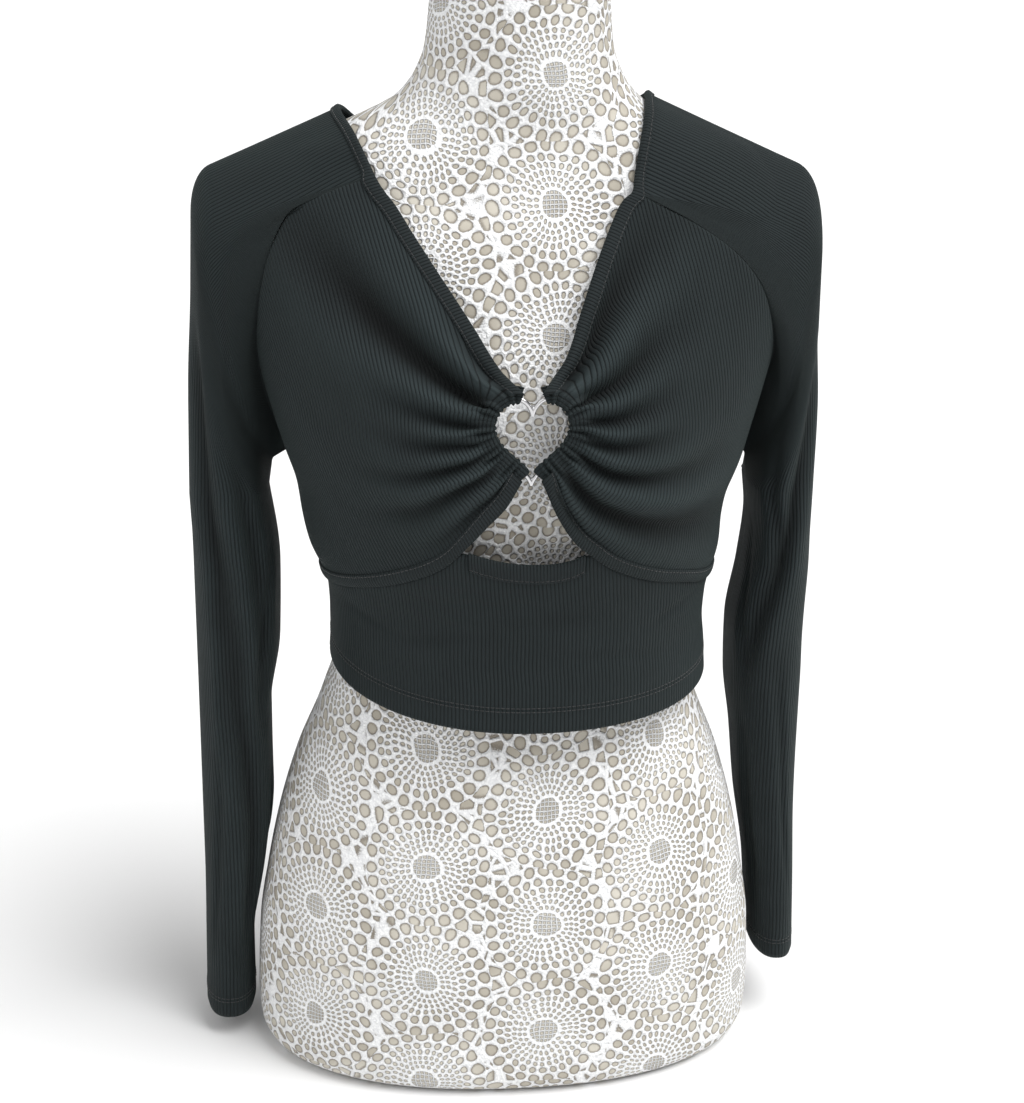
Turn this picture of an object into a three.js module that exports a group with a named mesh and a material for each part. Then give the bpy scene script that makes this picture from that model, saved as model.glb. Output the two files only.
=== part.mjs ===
// Long-sleeved crop top with a heart ring at the bust, worn by a limbless dress form.
// Millimetres, +Z up, the front faces -Y, the origin is the middle of the form's flat base.
// Left and right are the wearer's: the wearer's right side is at -X.
import * as THREE from 'three';
import { mergeVertices } from 'three/addons/utils/BufferGeometryUtils.js';

// Driving dimensions
const WALL = 1.4;              // rib knit, two faces of the jersey
const SEAM = 0.5;              // gap between two panels at a seam
const LIFT = 0.6;              // gap between a panel and the binding that lies on it
const BINDING_WALL = 1.2;
const NECK_BINDING = 8;        // width of each folded binding
const BUST_BINDING = 9;
const KEYHOLE_BINDING = 12;
const HEM_WALL = 2.4;          // folded hems, nearly twice the cloth
const FORM_GAP = 2.2;          // least room between the form and the outside of the cloth, past the wall
const RING = { wire: 1.5, wide: 1.62, tall: 2.0, y: -115.2, z: 473.6 };
const CASING = 3.6;            // outer radius of the cloth that is folded round the ring
const TAIL = 7;                // length of the fold behind the ring
const COLOUR = { linen: 0xd9d2c7, knit: 0x23282a, edge: 0x1d2123, steel: 0xc4c6c8 };

// Sections of the dress form: height, half width, depth to the front and back, squareness
const FORM = [
  { z: 0, w: 163, f: 100, b: 96, n: 2.25 },
  { z: 6, w: 171, f: 107, b: 103, n: 2.25 },
  { z: 16, w: 175, f: 111, b: 107, n: 2.25 },
  { z: 32, w: 176, f: 112, b: 108, n: 2.25 },
  { z: 85, w: 174, f: 112, b: 108, n: 2.25 },
  { z: 125, w: 168, f: 109, b: 106, n: 2.25 },
  { z: 170, w: 159, f: 104, b: 99, n: 2.2 },
  { z: 215, w: 146, f: 97, b: 88, n: 2.15 },
  { z: 260, w: 128, f: 89, b: 78, n: 2.1 },
  { z: 300, w: 117, f: 85, b: 74, n: 2.1 },
  { z: 340, w: 117, f: 87, b: 76, n: 2.15 },
  { z: 380, w: 126, f: 93, b: 81, n: 2.2 },
  { z: 420, w: 134, f: 97, b: 87, n: 2.25 },
  { z: 460, w: 143, f: 98, b: 92, n: 2.3 },
  { z: 500, w: 153, f: 94, b: 93, n: 2.3 },
  { z: 540, w: 164, f: 85, b: 91, n: 2.2 },
  { z: 575, w: 176, f: 75, b: 85, n: 2.1 },
  { z: 592, w: 181, f: 67, b: 78, n: 2.0 },
  { z: 602, w: 177, f: 62, b: 73, n: 2.0 },
  { z: 614, w: 165, f: 58, b: 67, n: 2.0 },
  { z: 628, w: 146, f: 54, b: 62, n: 2.0 },
  { z: 639, w: 122, f: 52, b: 60, n: 2.0 },
  { z: 650, w: 97, f: 51, b: 58, n: 2.0 },
  { z: 660, w: 78, f: 52, b: 56, n: 2.0 },
  { z: 674, w: 66, f: 53, b: 52, n: 2.0 },
  { z: 692, w: 59, f: 53, b: 49, n: 2.0 },
  { z: 720, w: 56, f: 52, b: 47, n: 2.0 },
  { z: 740, w: 54, f: 51, b: 45, n: 2.0 },
  { z: 747, w: 46, f: 43, b: 37, n: 2.0 },
];
const FORM_BUST = { lift: 24, x: 76, sx: 46, z: 462, sz: 48 };

// Sections of the worn cloth, in the same columns, with its shift to the left
const CLOTH = [
  { z: 270, w: 129, f: 112, b: 87, n: 2.3, x: 5 },
  { z: 300, w: 127, f: 109, b: 84, n: 2.3, x: 5 },
  { z: 322, w: 126, f: 107, b: 83, n: 2.3, x: 4 },
  { z: 340, w: 127, f: 107, b: 84, n: 2.3, x: 4 },
  { z: 357, w: 131, f: 109, b: 86, n: 2.35, x: 3 },
  { z: 376, w: 137, f: 113, b: 89, n: 2.4, x: 1 },
  { z: 395, w: 140, f: 116, b: 92, n: 2.4, x: 0 },
  { z: 415, w: 143, f: 118, b: 95, n: 2.4, x: 0 },
  { z: 440, w: 151, f: 118, b: 98, n: 2.4, x: 0 },
  { z: 460, w: 157, f: 117, b: 100, n: 2.4, x: 0 },
  { z: 500, w: 168, f: 109, b: 101, n: 2.35, x: 0 },
  { z: 540, w: 177, f: 97, b: 99, n: 2.25, x: 0 },
  { z: 575, w: 187, f: 84, b: 93, n: 2.1, x: 0 },
  { z: 596, w: 191, f: 74, b: 85, n: 2.0, x: 0 },
  { z: 607, w: 191, f: 68, b: 79, n: 2.0, x: 0 },
  { z: 620, w: 178, f: 63, b: 72, n: 2.0, x: 0 },
  { z: 632, w: 157, f: 59, b: 67, n: 2.0, x: 0 },
  { z: 642, w: 133, f: 56, b: 64, n: 2.0, x: 0 },
  { z: 652, w: 108, f: 55, b: 62, n: 2.0, x: 0 },
  { z: 662, w: 85, f: 55, b: 60, n: 2.0, x: 0 },
];
const CLOTH_BUST = { lift: 10, x: 78, sx: 52, z: 458, sz: 60 };

const ARMPIT = 432;
const HEM = { front: 273, right: 289, left: 281, back: 276 };

// Seams of each side of the front as [x, z] on the cloth, from the middle outwards or from the top down
const RIGHT = {
  sign: -1,
  neck: [[12, 492], [20, 512], [37, 538], [54, 563], [71, 588], [87, 611], [104, 617]],
  raglan: [[104, 617], [126, 607], [143, 598], [154, 580], [161, 557], [165, 533], [166, 507], [162, 480], [157, 456]],
  under: [[7, 440], [16, 430], [28, 417], [40, 403], [52, 390], [68, 380], [92, 369], [116, 358]],
  underSide: 348,
  shoulder: [[109, -28, 641], [114, 0, 651], [110, 25, 650]],
  // Gathers: place on the ring and at the far seam (0 neckline, 1 under the bust), reach, depth, width
  gathers: [
    { ring: 0.10, seam: 0.05, reach: 0.30, depth: 1.6, width: 0.030 },
    { ring: 0.24, seam: 0.09, reach: 0.42, depth: 2.6, width: 0.030 },
    { ring: 0.42, seam: 0.17, reach: 0.85, depth: 5.2, width: 0.038 },
    { ring: 0.53, seam: 0.42, reach: 0.34, depth: 2.6, width: 0.034 },
    { ring: 0.65, seam: 0.60, reach: 0.42, depth: 2.6, width: 0.034 },
    { ring: 0.79, seam: 0.80, reach: 0.36, depth: 2.4, width: 0.034 },
    { ring: 0.91, seam: 0.93, reach: 0.28, depth: 1.6, width: 0.026 },
  ],
};
const LEFT = {
  sign: 1,
  neck: [[12, 490], [21, 517], [32, 546], [44, 577], [54, 598], [60, 607], [66, 611]],
  raglan: [[66, 611], [82, 604], [98, 596], [127, 577], [150, 551], [161, 521], [164, 498], [161, 478], [157, 456]],
  under: [[7, 438], [17, 423], [28, 406], [38, 397], [54, 385], [78, 374], [101, 366], [119, 358]],
  underSide: 349,
  shoulder: [[74, -32, 650], [80, -4, 662], [84, 25, 658]],
  gathers: [
    { ring: 0.12, seam: 0.10, reach: 0.62, depth: 4.0, width: 0.036 },
    { ring: 0.26, seam: 0.20, reach: 0.30, depth: 1.8, width: 0.028 },
    { ring: 0.36, seam: 0.28, reach: 0.52, depth: 3.4, width: 0.036 },
    { ring: 0.49, seam: 0.47, reach: 0.44, depth: 2.8, width: 0.034 },
    { ring: 0.61, seam: 0.62, reach: 0.46, depth: 2.8, width: 0.034 },
    { ring: 0.74, seam: 0.74, reach: 0.46, depth: 2.8, width: 0.034 },
    { ring: 0.89, seam: 0.91, reach: 0.40, depth: 3.4, width: 0.034 },
  ],
};
// The band's top edge between the two bust seams, where the keyhole shows it, as [x, z]
const KEYHOLE = [[-42, 399], [-28, 395], [-8, 390.5], [12, 390], [27, 392.5], [38, 396.5]];
// The back neckline and the back raglan seams, as [x, z]
const BACK_NECK = 634;
const BACK_RAGLAN = {
  right: [[99, 638], [121, 620], [138, 596], [150, 565], [157, 530], [160, 495], [158, 462]],
  left: [[75, 646], [106, 625], [132, 596], [147, 565], [156, 530], [160, 495], [158, 462]],
};

// The shoulder's edge, where each sleeve turns down: place round the sleeve, way out, y, z
const SHOULDER_EDGE = [
  { u: 0.00, out: 158, y: 6, z: 424 },
  { u: 0.10, out: 170, y: -24, z: 448 },
  { u: 0.22, out: 187, y: -40, z: 505 },
  { u: 0.34, out: 197, y: -34, z: 572 },
  { u: 0.50, out: 201, y: 4, z: 612 },
  { u: 0.66, out: 197, y: 42, z: 572 },
  { u: 0.78, out: 187, y: 50, z: 505 },
  { u: 0.90, out: 170, y: 34, z: 448 },
];
const RAGLAN = { front: 0.37, back: 0.59 };   // places round the sleeve where the neckline starts and ends
const SLEEVE_START = 405;
const YOKE = 0.42;             // share of a sleeve's rows that lies above that height
// Each sleeve: how much further out its shoulder reaches, then the sections where it hangs:
// height, inner and outer edge from the middle, y of the centre, half depth
const SLEEVE_RIGHT = {
  wider: 4,
  rows: [
    { z: 405, inner: 161, outer: 213, y: 8, deep: 43 },
    { z: 350, inner: 155, outer: 212, y: 8, deep: 42 },
    { z: 300, inner: 156, outer: 212, y: 9, deep: 41 },
    { z: 250, inner: 163, outer: 212, y: 10, deep: 39 },
    { z: 190, inner: 163, outer: 212, y: 10, deep: 37 },
    { z: 130, inner: 170, outer: 212, y: 10, deep: 35 },
    { z: 70, inner: 179, outer: 213, y: 10, deep: 34 },
    { z: 17, inner: 179, outer: 214, y: 10, deep: 34 },
  ],
  // Folds down the sleeve: place round it at the top and bottom, heights, depth, width
  folds: [
    { top: 0.40, foot: 0.12, from: 540, to: 60, depth: 5.5, width: 0.042 },
    { top: 0.22, foot: 0.12, from: 450, to: 215, depth: 4.5, width: 0.036 },
    { top: 0.64, foot: 0.72, from: 500, to: 110, depth: 4.5, width: 0.045 },
    { top: 0.88, foot: 0.82, from: 430, to: 80, depth: 4.0, width: 0.045 },
  ],
};
const SLEEVE_LEFT = {
  wider: -5,
  rows: [
    { z: 405, inner: 160, outer: 203, y: 8, deep: 43 },
    { z: 380, inner: 163, outer: 203, y: 8, deep: 43 },
    { z: 345, inner: 160, outer: 204, y: 8, deep: 42 },
    { z: 300, inner: 154, outer: 204, y: 9, deep: 41 },
    { z: 262, inner: 155, outer: 205, y: 10, deep: 40 },
    { z: 220, inner: 161, outer: 205, y: 10, deep: 39 },
    { z: 170, inner: 167, outer: 206, y: 11, deep: 38 },
    { z: 110, inner: 176, outer: 209, y: 11, deep: 37 },
    { z: 49, inner: 181, outer: 212, y: 11, deep: 36 },
  ],
  folds: [
    { top: 0.40, foot: 0.10, from: 520, to: 250, depth: 5.5, width: 0.045 },
    { top: 0.15, foot: 0.22, from: 455, to: 330, depth: 4.0, width: 0.034 },
    { top: 0.66, foot: 0.74, from: 500, to: 130, depth: 4.5, width: 0.045 },
    { top: 0.90, foot: 0.84, from: 430, to: 110, depth: 4.0, width: 0.045 },
    { top: 0.10, foot: 0.09, from: 260, to: 70, depth: 2.5, width: 0.030 },
  ],
};

const lerp = (a, b, t) => a + (b - a) * t;
const clamp01 = (t) => Math.min(1, Math.max(0, t));
const smooth = (t) => clamp01(t) ** 2 * (3 - 2 * clamp01(t));
const bump = (x) => Math.exp(-x * x);

// A smooth reading of one column against another, with no overshoot between the rows
function column(rows, across, key) {
  const x = rows.map((r) => r[across]);
  const y = rows.map((r) => r[key]);
  const gap = x.slice(1).map((v, i) => v - x[i]);
  const rise = gap.map((h, i) => (y[i + 1] - y[i]) / h);
  const lean = y.map((_, i) => {
    if (i === 0) return rise[0];
    if (i === y.length - 1) return rise[i - 1];
    const both = rise[i - 1] * rise[i];
    return both > 0 ? (2 * both) / (rise[i - 1] + rise[i]) : 0;
  });
  return (value) => {
    const v = Math.min(Math.max(value, x[0]), x[x.length - 1]);
    let i = 0;
    while (i < gap.length - 1 && v > x[i + 1]) i += 1;
    const t = (v - x[i]) / gap[i];
    const end = t * t * (3 - 2 * t);
    return y[i] * (1 - end) + y[i + 1] * end
      + gap[i] * (lean[i] * t * (1 - t) ** 2 - lean[i + 1] * t * t * (1 - t));
  };
}

// A smooth line through points, read from 0 to 1 by the length of its chords
function line(points) {
  const knots = [0];
  for (let i = 1; i < points.length; i += 1) {
    knots.push(knots[i - 1] + Math.hypot(...points[i].map((v, k) => v - points[i - 1][k])));
  }
  const total = knots[knots.length - 1];
  const shares = knots.map((v) => v / total);
  const lean = (i, k) => {
    const a = Math.max(0, i - 1);
    const b = Math.min(points.length - 1, i + 1);
    return (points[b][k] - points[a][k]) / (knots[b] - knots[a]);
  };
  const read = (t) => {
    const at = clamp01(t) * total;
    let i = 0;
    while (i < points.length - 2 && at > knots[i + 1]) i += 1;
    const h = knots[i + 1] - knots[i];
    const q = (at - knots[i]) / h;
    const end = q * q * (3 - 2 * q);
    return points[i].map((v, k) => v * (1 - end) + points[i + 1][k] * end
      + h * (lean(i, k) * q * (1 - q) ** 2 - lean(i + 1, k) * q * q * (1 - q)));
  };
  return Object.assign(read, { shares });
}

// A torso read at an angle from the front (0 front, a quarter turn at +X) and a height
class Torso {
  constructor(rows, bust) {
    for (const key of ['w', 'f', 'b', 'n']) this[key] = column(rows, 'z', key);
    this.shift = rows[0].x === undefined ? () => 0 : column(rows, 'z', 'x');
    this.bust = bust;
  }

  front(x, z) {
    const { lift, x: bx, sx, z: bz, sz } = this.bust;
    return this.f(z) + lift * bump((Math.abs(x) - bx) / sx) * bump((z - bz) / sz);
  }

  point([angle, z]) {
    const n = this.n(z);
    const s = Math.sin(angle);
    const c = Math.cos(angle);
    const k = (Math.abs(s) ** n + Math.abs(c) ** n) ** (-1 / n);
    const x = this.w(z) * s * k;
    const deep = c > 0 ? this.front(x, z) : this.b(z);
    return new THREE.Vector3(x + this.shift(z), -deep * c * k, z);
  }

  angle(x, z, back = false) {
    const n = this.n(z);
    const across = x - this.shift(z);
    const share = Math.min(0.9999, Math.abs(across) / this.w(z));
    const turn = Math.atan2(share, (1 - share ** n) ** (1 / n));
    return Math.sign(across) * (back ? Math.PI - turn : turn);
  }

  // How far outside the torso a point is, with the way out
  outside(p) {
    const value = (side, y, z) => {
      const n = this.n(z);
      const x = side - this.shift(z);
      const deep = y < 0 ? this.front(x, z) : this.b(z);
      return (Math.abs(x / this.w(z)) ** n + Math.abs(y / deep) ** n) ** (1 / n);
    };
    const e = 0.5;
    const way = new THREE.Vector3(
      value(p.x + e, p.y, p.z) - value(p.x - e, p.y, p.z),
      value(p.x, p.y + e, p.z) - value(p.x, p.y - e, p.z),
      value(p.x, p.y, p.z + e) - value(p.x, p.y, p.z - e),
    ).divideScalar(2 * e);
    const steep = way.length();
    return { far: (value(p.x, p.y, p.z) - 1) / steep, way: way.divideScalar(steep) };
  }
}

const form = new Torso(FORM, FORM_BUST);
const cloth = new Torso(CLOTH, CLOTH_BUST);

// Moves a point out until it clears the form
function clearOfForm(p, room = FORM_GAP + WALL) {
  for (let i = 0; i < 6; i += 1) {
    const { far, way } = form.outside(p);
    if (far >= room) break;
    p.addScaledVector(way, (room - far) * 0.8);
  }
  return p;
}

function solid(name, colour, positions, triangles, shine = {}) {
  const bare = new THREE.BufferGeometry();
  bare.setAttribute('position', new THREE.Float32BufferAttribute(positions, 3));
  bare.setIndex(triangles);
  const geometry = mergeVertices(bare, 1e-3);
  const at = geometry.getAttribute('position');
  const index = geometry.getIndex().array;
  const [a, b, c] = [new THREE.Vector3(), new THREE.Vector3(), new THREE.Vector3()];
  let volume = 0;
  for (let i = 0; i < index.length; i += 3) {
    a.fromBufferAttribute(at, index[i]);
    b.fromBufferAttribute(at, index[i + 1]);
    c.fromBufferAttribute(at, index[i + 2]);
    volume += a.dot(b.cross(c));
  }
  if (volume < 0) {
    for (let i = 0; i < index.length; i += 3) [index[i], index[i + 1]] = [index[i + 1], index[i]];
  }
  geometry.computeVertexNormals();
  const material = new THREE.MeshStandardMaterial({ color: colour, roughness: 0.85, metalness: 0, ...shine });
  const mesh = new THREE.Mesh(geometry, material);
  mesh.name = name;
  return mesh;
}

// The unit normal of a grid of points at one of them, wrapping along the rows when they close
function gridNormal(grid, i, j, closed) {
  const rows = grid.length;
  const cols = grid[0].length;
  const up = grid[Math.min(i + 1, rows - 1)][j];
  const down = grid[Math.max(i - 1, 0)][j];
  const next = closed ? grid[i][(j + 1) % cols] : grid[i][Math.min(j + 1, cols - 1)];
  const last = closed ? grid[i][(j + cols - 1) % cols] : grid[i][Math.max(j - 1, 0)];
  const along = up.clone().sub(down);
  return along.cross(next.clone().sub(last)).normalize();
}

// A wall whose two faces lie at given distances outside a grid of points
function wall(name, grid, {
  out = () => 0, inn = () => -WALL, closed = false, flip = 1, colour = COLOUR.knit, onTorso = () => false,
}) {
  const rows = grid.length;
  const cols = grid[0].length;
  const positions = [];
  for (const face of [out, inn]) {
    for (let i = 0; i < rows; i += 1) {
      for (let j = 0; j < cols; j += 1) {
        const p = grid[i][j].clone();
        const way = onTorso(i, j) ? cloth.outside(p).way : gridNormal(grid, i, j, closed).multiplyScalar(flip);
        p.addScaledVector(way, face(i, j));
        positions.push(p.x, p.y, p.z);
      }
    }
  }
  const triangles = [];
  const quad = (a, b, c, d) => triangles.push(a, b, c, a, c, d);
  const id = (face, i, j) => face * rows * cols + i * cols + (j % cols);
  const spans = closed ? cols : cols - 1;
  for (let i = 0; i < rows - 1; i += 1) {
    for (let j = 0; j < spans; j += 1) {
      quad(id(0, i, j), id(0, i, j + 1), id(0, i + 1, j + 1), id(0, i + 1, j));
      quad(id(1, i, j), id(1, i + 1, j), id(1, i + 1, j + 1), id(1, i, j + 1));
    }
  }
  for (let j = 0; j < spans; j += 1) {
    quad(id(0, 0, j + 1), id(0, 0, j), id(1, 0, j), id(1, 0, j + 1));
    quad(id(0, rows - 1, j), id(0, rows - 1, j + 1), id(1, rows - 1, j + 1), id(1, rows - 1, j));
  }
  if (!closed) {
    const end = cols - 1;
    for (let i = 0; i < rows - 1; i += 1) {
      quad(id(0, i, 0), id(0, i + 1, 0), id(1, i + 1, 0), id(1, i, 0));
      quad(id(0, i + 1, end), id(0, i, end), id(1, i, end), id(1, i + 1, end));
    }
  }
  return solid(name, colour, positions, triangles);
}

const steps = (count, from = 0, to = 1) => Array.from({ length: count + 1 }, (_, i) => lerp(from, to, i / count));

// Where the panels' points lie, out from the ring or along a panel (steps) and up or down it (rows)
const BUST_STEPS = steps(17).map((k) => k ** 1.25);
const BUST_ROWS = steps(21);
const BAND_STEPS = steps(30);
const BAND_ROWS = steps(6);
const BACK_STEPS = steps(20);
const SHOULDER_STEPS = steps(7, RAGLAN.front, RAGLAN.back).slice(1, -1);
const BACK_ROWS = [...steps(14).slice(0, -1), 0.965, 0.985, 1];

// The form: plain rings, closed by its flat base and the flat top of the neck
function dressForm() {
  const around = 36;
  const heights = FORM.map((r) => r.z);
  const positions = [];
  for (const z of heights) {
    for (let j = 0; j < around; j += 1) {
      const p = form.point([(2 * Math.PI * j) / around, z]);
      positions.push(p.x, p.y, p.z);
    }
  }
  const triangles = [];
  heights.slice(1).forEach((_, i) => {
    for (let j = 0; j < around; j += 1) {
      const next = (j + 1) % around;
      const [a, b] = [i * around + j, i * around + next];
      triangles.push(a, b, b + around, a, b + around, a + around);
    }
  });
  const top = (heights.length - 1) * around;
  for (let j = 1; j < around - 1; j += 1) triangles.push(0, j + 1, j, top, top + j, top + j + 1);
  return solid('dress_form', COLOUR.linen, positions, triangles);
}

// The heart that the ring's wire follows, from the notch (0) down one lobe to the tip (a half turn)
function heartPoint(turn) {
  const x = 16 * Math.sin(turn) ** 3;
  const z = 13 * Math.cos(turn) - 3.8 * Math.cos(2 * turn) - 2 * Math.cos(3 * turn) - Math.cos(4 * turn);
  return new THREE.Vector3(RING.wide * x, RING.y, RING.z + RING.tall * z);
}

// Away from the middle of the heart, square to the wire
function heartOut(turn) {
  const ahead = heartPoint(turn + 0.02).sub(heartPoint(turn - 0.02)).normalize();
  return new THREE.Vector3(-ahead.z, 0, ahead.x);
}

function heartRing() {
  const count = 44;
  const sides = 8;
  const turns = Array.from({ length: count }, (_, i) => (2 * Math.PI * (i + 0.5)) / count);
  const positions = [];
  for (const turn of turns) {
    const centre = heartPoint(turn);
    const out = heartOut(turn);
    for (let k = 0; k < sides; k += 1) {
      const roll = (2 * Math.PI * k) / sides;
      const p = centre.clone().addScaledVector(out, RING.wire * Math.cos(roll));
      positions.push(p.x, p.y + RING.wire * Math.sin(roll), p.z);
    }
  }
  const triangles = [];
  for (let i = 0; i < count; i += 1) {
    for (let k = 0; k < sides; k += 1) {
      const [a, b] = [i * sides + k, i * sides + ((k + 1) % sides)];
      const [c, d] = [((i + 1) % count) * sides + k, ((i + 1) % count) * sides + ((k + 1) % sides)];
      triangles.push(a, b, d, a, d, c);
    }
  }
  return solid('heart_ring', COLOUR.steel, positions, triangles, { roughness: 0.25, metalness: 1 });
}

// Turns of the heart between the two ends of a casing, read by the length of wire between them
const CASING_ENDS = [0.72, 2.6];
const ringAt = (() => {
  const rows = [{ far: 0, turn: CASING_ENDS[0] }];
  for (const turn of steps(40, ...CASING_ENDS).slice(1)) {
    const last = rows[rows.length - 1];
    rows.push({ far: last.far + heartPoint(turn).distanceTo(heartPoint(last.turn)), turn });
  }
  const read = column(rows, 'far', 'turn');
  return (t) => read(t * rows[rows.length - 1].far);
})();

// A four-sided patch of the cloth's torso between its edges, each read as [angle, height]
function patch(low, high, start, end) {
  return (s, t) => {
    const [a, b, c, d] = [low(s), high(s), start(t), end(t)];
    const [p00, p10, p01, p11] = [low(0), low(1), high(0), high(1)];
    return [0, 1].map((k) => lerp(a[k], b[k], t) + lerp(c[k], d[k], s)
      - lerp(lerp(p00[k], p10[k], s), lerp(p01[k], p11[k], s), t));
  };
}

// Lines on the torso are worked in [angle times this, height], so both are millimetres
const GIRTH = 150;
function seamLine(points) {
  const at = line(points.map(([angle, z]) => [angle * GIRTH, z]));
  const read = (t) => {
    const [a, z] = at(t);
    return [a / GIRTH, z];
  };
  return Object.assign(read, { shares: at.shares });
}

const onFront = (sign) => ([x, z]) => [cloth.angle(sign * x, z), z];
const onBack = (sign) => ([x, z]) => [cloth.angle(sign * x, z, true), z];

// One side of the gathered front, read from the ring (s 0) to the far seams (s 1),
// and from the neckline (t 0) to the seam under the bust (t 1)
function bustSurface(side) {
  const { sign } = side;
  const edge = sign * (Math.PI / 2 - SEAM / cloth.w(ARMPIT));
  const ringTurn = (t) => sign * ringAt(t);
  const ringEdge = (t) => {
    const p = heartPoint(ringTurn(t)).addScaledVector(heartOut(ringTurn(t)), 4);
    return [cloth.angle(p.x, p.z), p.z];
  };
  const neck = seamLine([ringEdge(0), ...side.neck.map(onFront(sign)).slice(1)]);
  const under = seamLine([ringEdge(1), ...side.under.map(onFront(sign)).slice(1), [edge, side.underSide]]);
  const far = seamLine([
    ...side.raglan.map(onFront(sign)), [edge, ARMPIT], [edge, lerp(ARMPIT, side.underSide, 0.5)], [edge, side.underSide],
  ]);
  const flat = patch(neck, under, ringEdge, far);
  const gather = (s, t) => {
    let depth = 0;
    for (const g of side.gathers) {
      const middle = lerp(g.ring, g.seam, s ** 0.8);
      const length = smooth(s / 0.05) * smooth((g.reach - s) / (0.7 * g.reach));
      const wide = g.width * (1 + 0.6 * s);
      depth += g.depth * length * (0.35 * bump((t - middle) / wide / 2.2) - bump((t - middle) / wide));
    }
    return depth * smooth(t / 0.04) * smooth((1 - t) / 0.04);
  };
  const surface = (s, t) => {
    const at = flat(s, t);
    const p = cloth.point(at);
    const e = 0.01;
    const across = cloth.point([at[0] + e, at[1]]).sub(cloth.point([at[0] - e, at[1]]));
    const down = cloth.point([at[0], at[1] - 1]).sub(cloth.point([at[0], at[1] + 1]));
    p.addScaledVector(down.cross(across).normalize(), gather(s, t));
    p.y = lerp(p.y, RING.y - CASING, bump(s / 0.07));
    return p;
  };
  return Object.assign(surface, { turn: ringTurn, far, armpit: far.shares[side.raglan.length] });
}

// The fold round the ring: behind it, round its inner side and out over its front
function casing(side, surface, t) {
  const turn = surface.turn(t);
  const centre = heartPoint(turn);
  const out = heartOut(turn);
  const place = (along, deep) => centre.clone().addScaledVector(out, along).add(new THREE.Vector3(0, deep, 0));
  const round = steps(5, 1.5 * Math.PI, 0.5 * Math.PI)
    .map((roll) => place(CASING * Math.cos(roll), -CASING * Math.sin(roll)));
  return [place(TAIL, CASING), place(TAIL / 2, CASING), ...round];
}

function bustPanel(name, side, surface) {
  const columns = BUST_ROWS.map((t) => [
    ...casing(side, surface, t),
    ...BUST_STEPS.map((s) => surface(s, t)),
  ]);
  const grid = columns[0].map((_, i) => columns.map((c) => c[i]));
  return wall(name, grid, { flip: -side.sign, onTorso: (i) => i === grid.length - 1 });
}

// The lower front, from side seam to side seam (s) and from the hem (t 0) up
const hemHeight = (angle) => {
  const turn = Math.abs(angle) / (Math.PI / 2);
  const side = angle < 0 ? HEM.right : HEM.left;
  return turn < 1 ? lerp(HEM.front, side, smooth(turn)) : lerp(side, HEM.back, smooth(turn - 1));
};

function bandSurface() {
  const drop = ([angle, z]) => [angle, z - 2.4 * SEAM];
  const edge = Math.PI / 2 - SEAM / cloth.w(HEM.left);
  const right = RIGHT.under.filter(([x]) => x > 40).map(onFront(-1)).reverse();
  const left = LEFT.under.filter(([x]) => x > 38).map(onFront(1));
  const top = seamLine([
    [-edge, RIGHT.underSide], ...right, ...KEYHOLE.map(([x, z]) => [cloth.angle(x, z), z]),
    ...left, [edge, LEFT.underSide],
  ].map(drop));
  return (s, t) => {
    const [angle, z] = top(s);
    return cloth.point([angle, lerp(hemHeight(angle), z, t)]);
  };
}

// The back, from the right side seam to the left one (s) and from the hem (t 0) to the neck
function backSurface() {
  const edge = Math.PI / 2 + SEAM / cloth.w(ARMPIT);
  const side = (sign, raglan) => seamLine([
    [sign * edge, sign < 0 ? HEM.right : HEM.left], [sign * edge, 330], [sign * edge, 385], [sign * edge, ARMPIT],
    ...raglan.map(onBack(sign)).reverse(),
  ].map(([a, z]) => [a < 0 ? a + 2 * Math.PI : a, z]));
  const right = side(-1, BACK_RAGLAN.right);
  const left = side(1, BACK_RAGLAN.left);
  const hem = (s) => {
    const angle = lerp(2 * Math.PI - edge, edge, s);
    return [angle, hemHeight(angle > Math.PI ? angle - 2 * Math.PI : angle)];
  };
  const ends = [right(1), left(1)];
  const neck = seamLine([ends[0], [lerp(ends[0][0], Math.PI, 0.5), BACK_NECK + 2], [Math.PI, BACK_NECK],
    [lerp(ends[1][0], Math.PI, 0.5), BACK_NECK + 2], ends[1]]);
  const flat = patch(hem, neck, right, left);
  return Object.assign((s, t) => cloth.point(flat(s, t)), { right, left, armpit: right.shares[3] });
}

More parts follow.
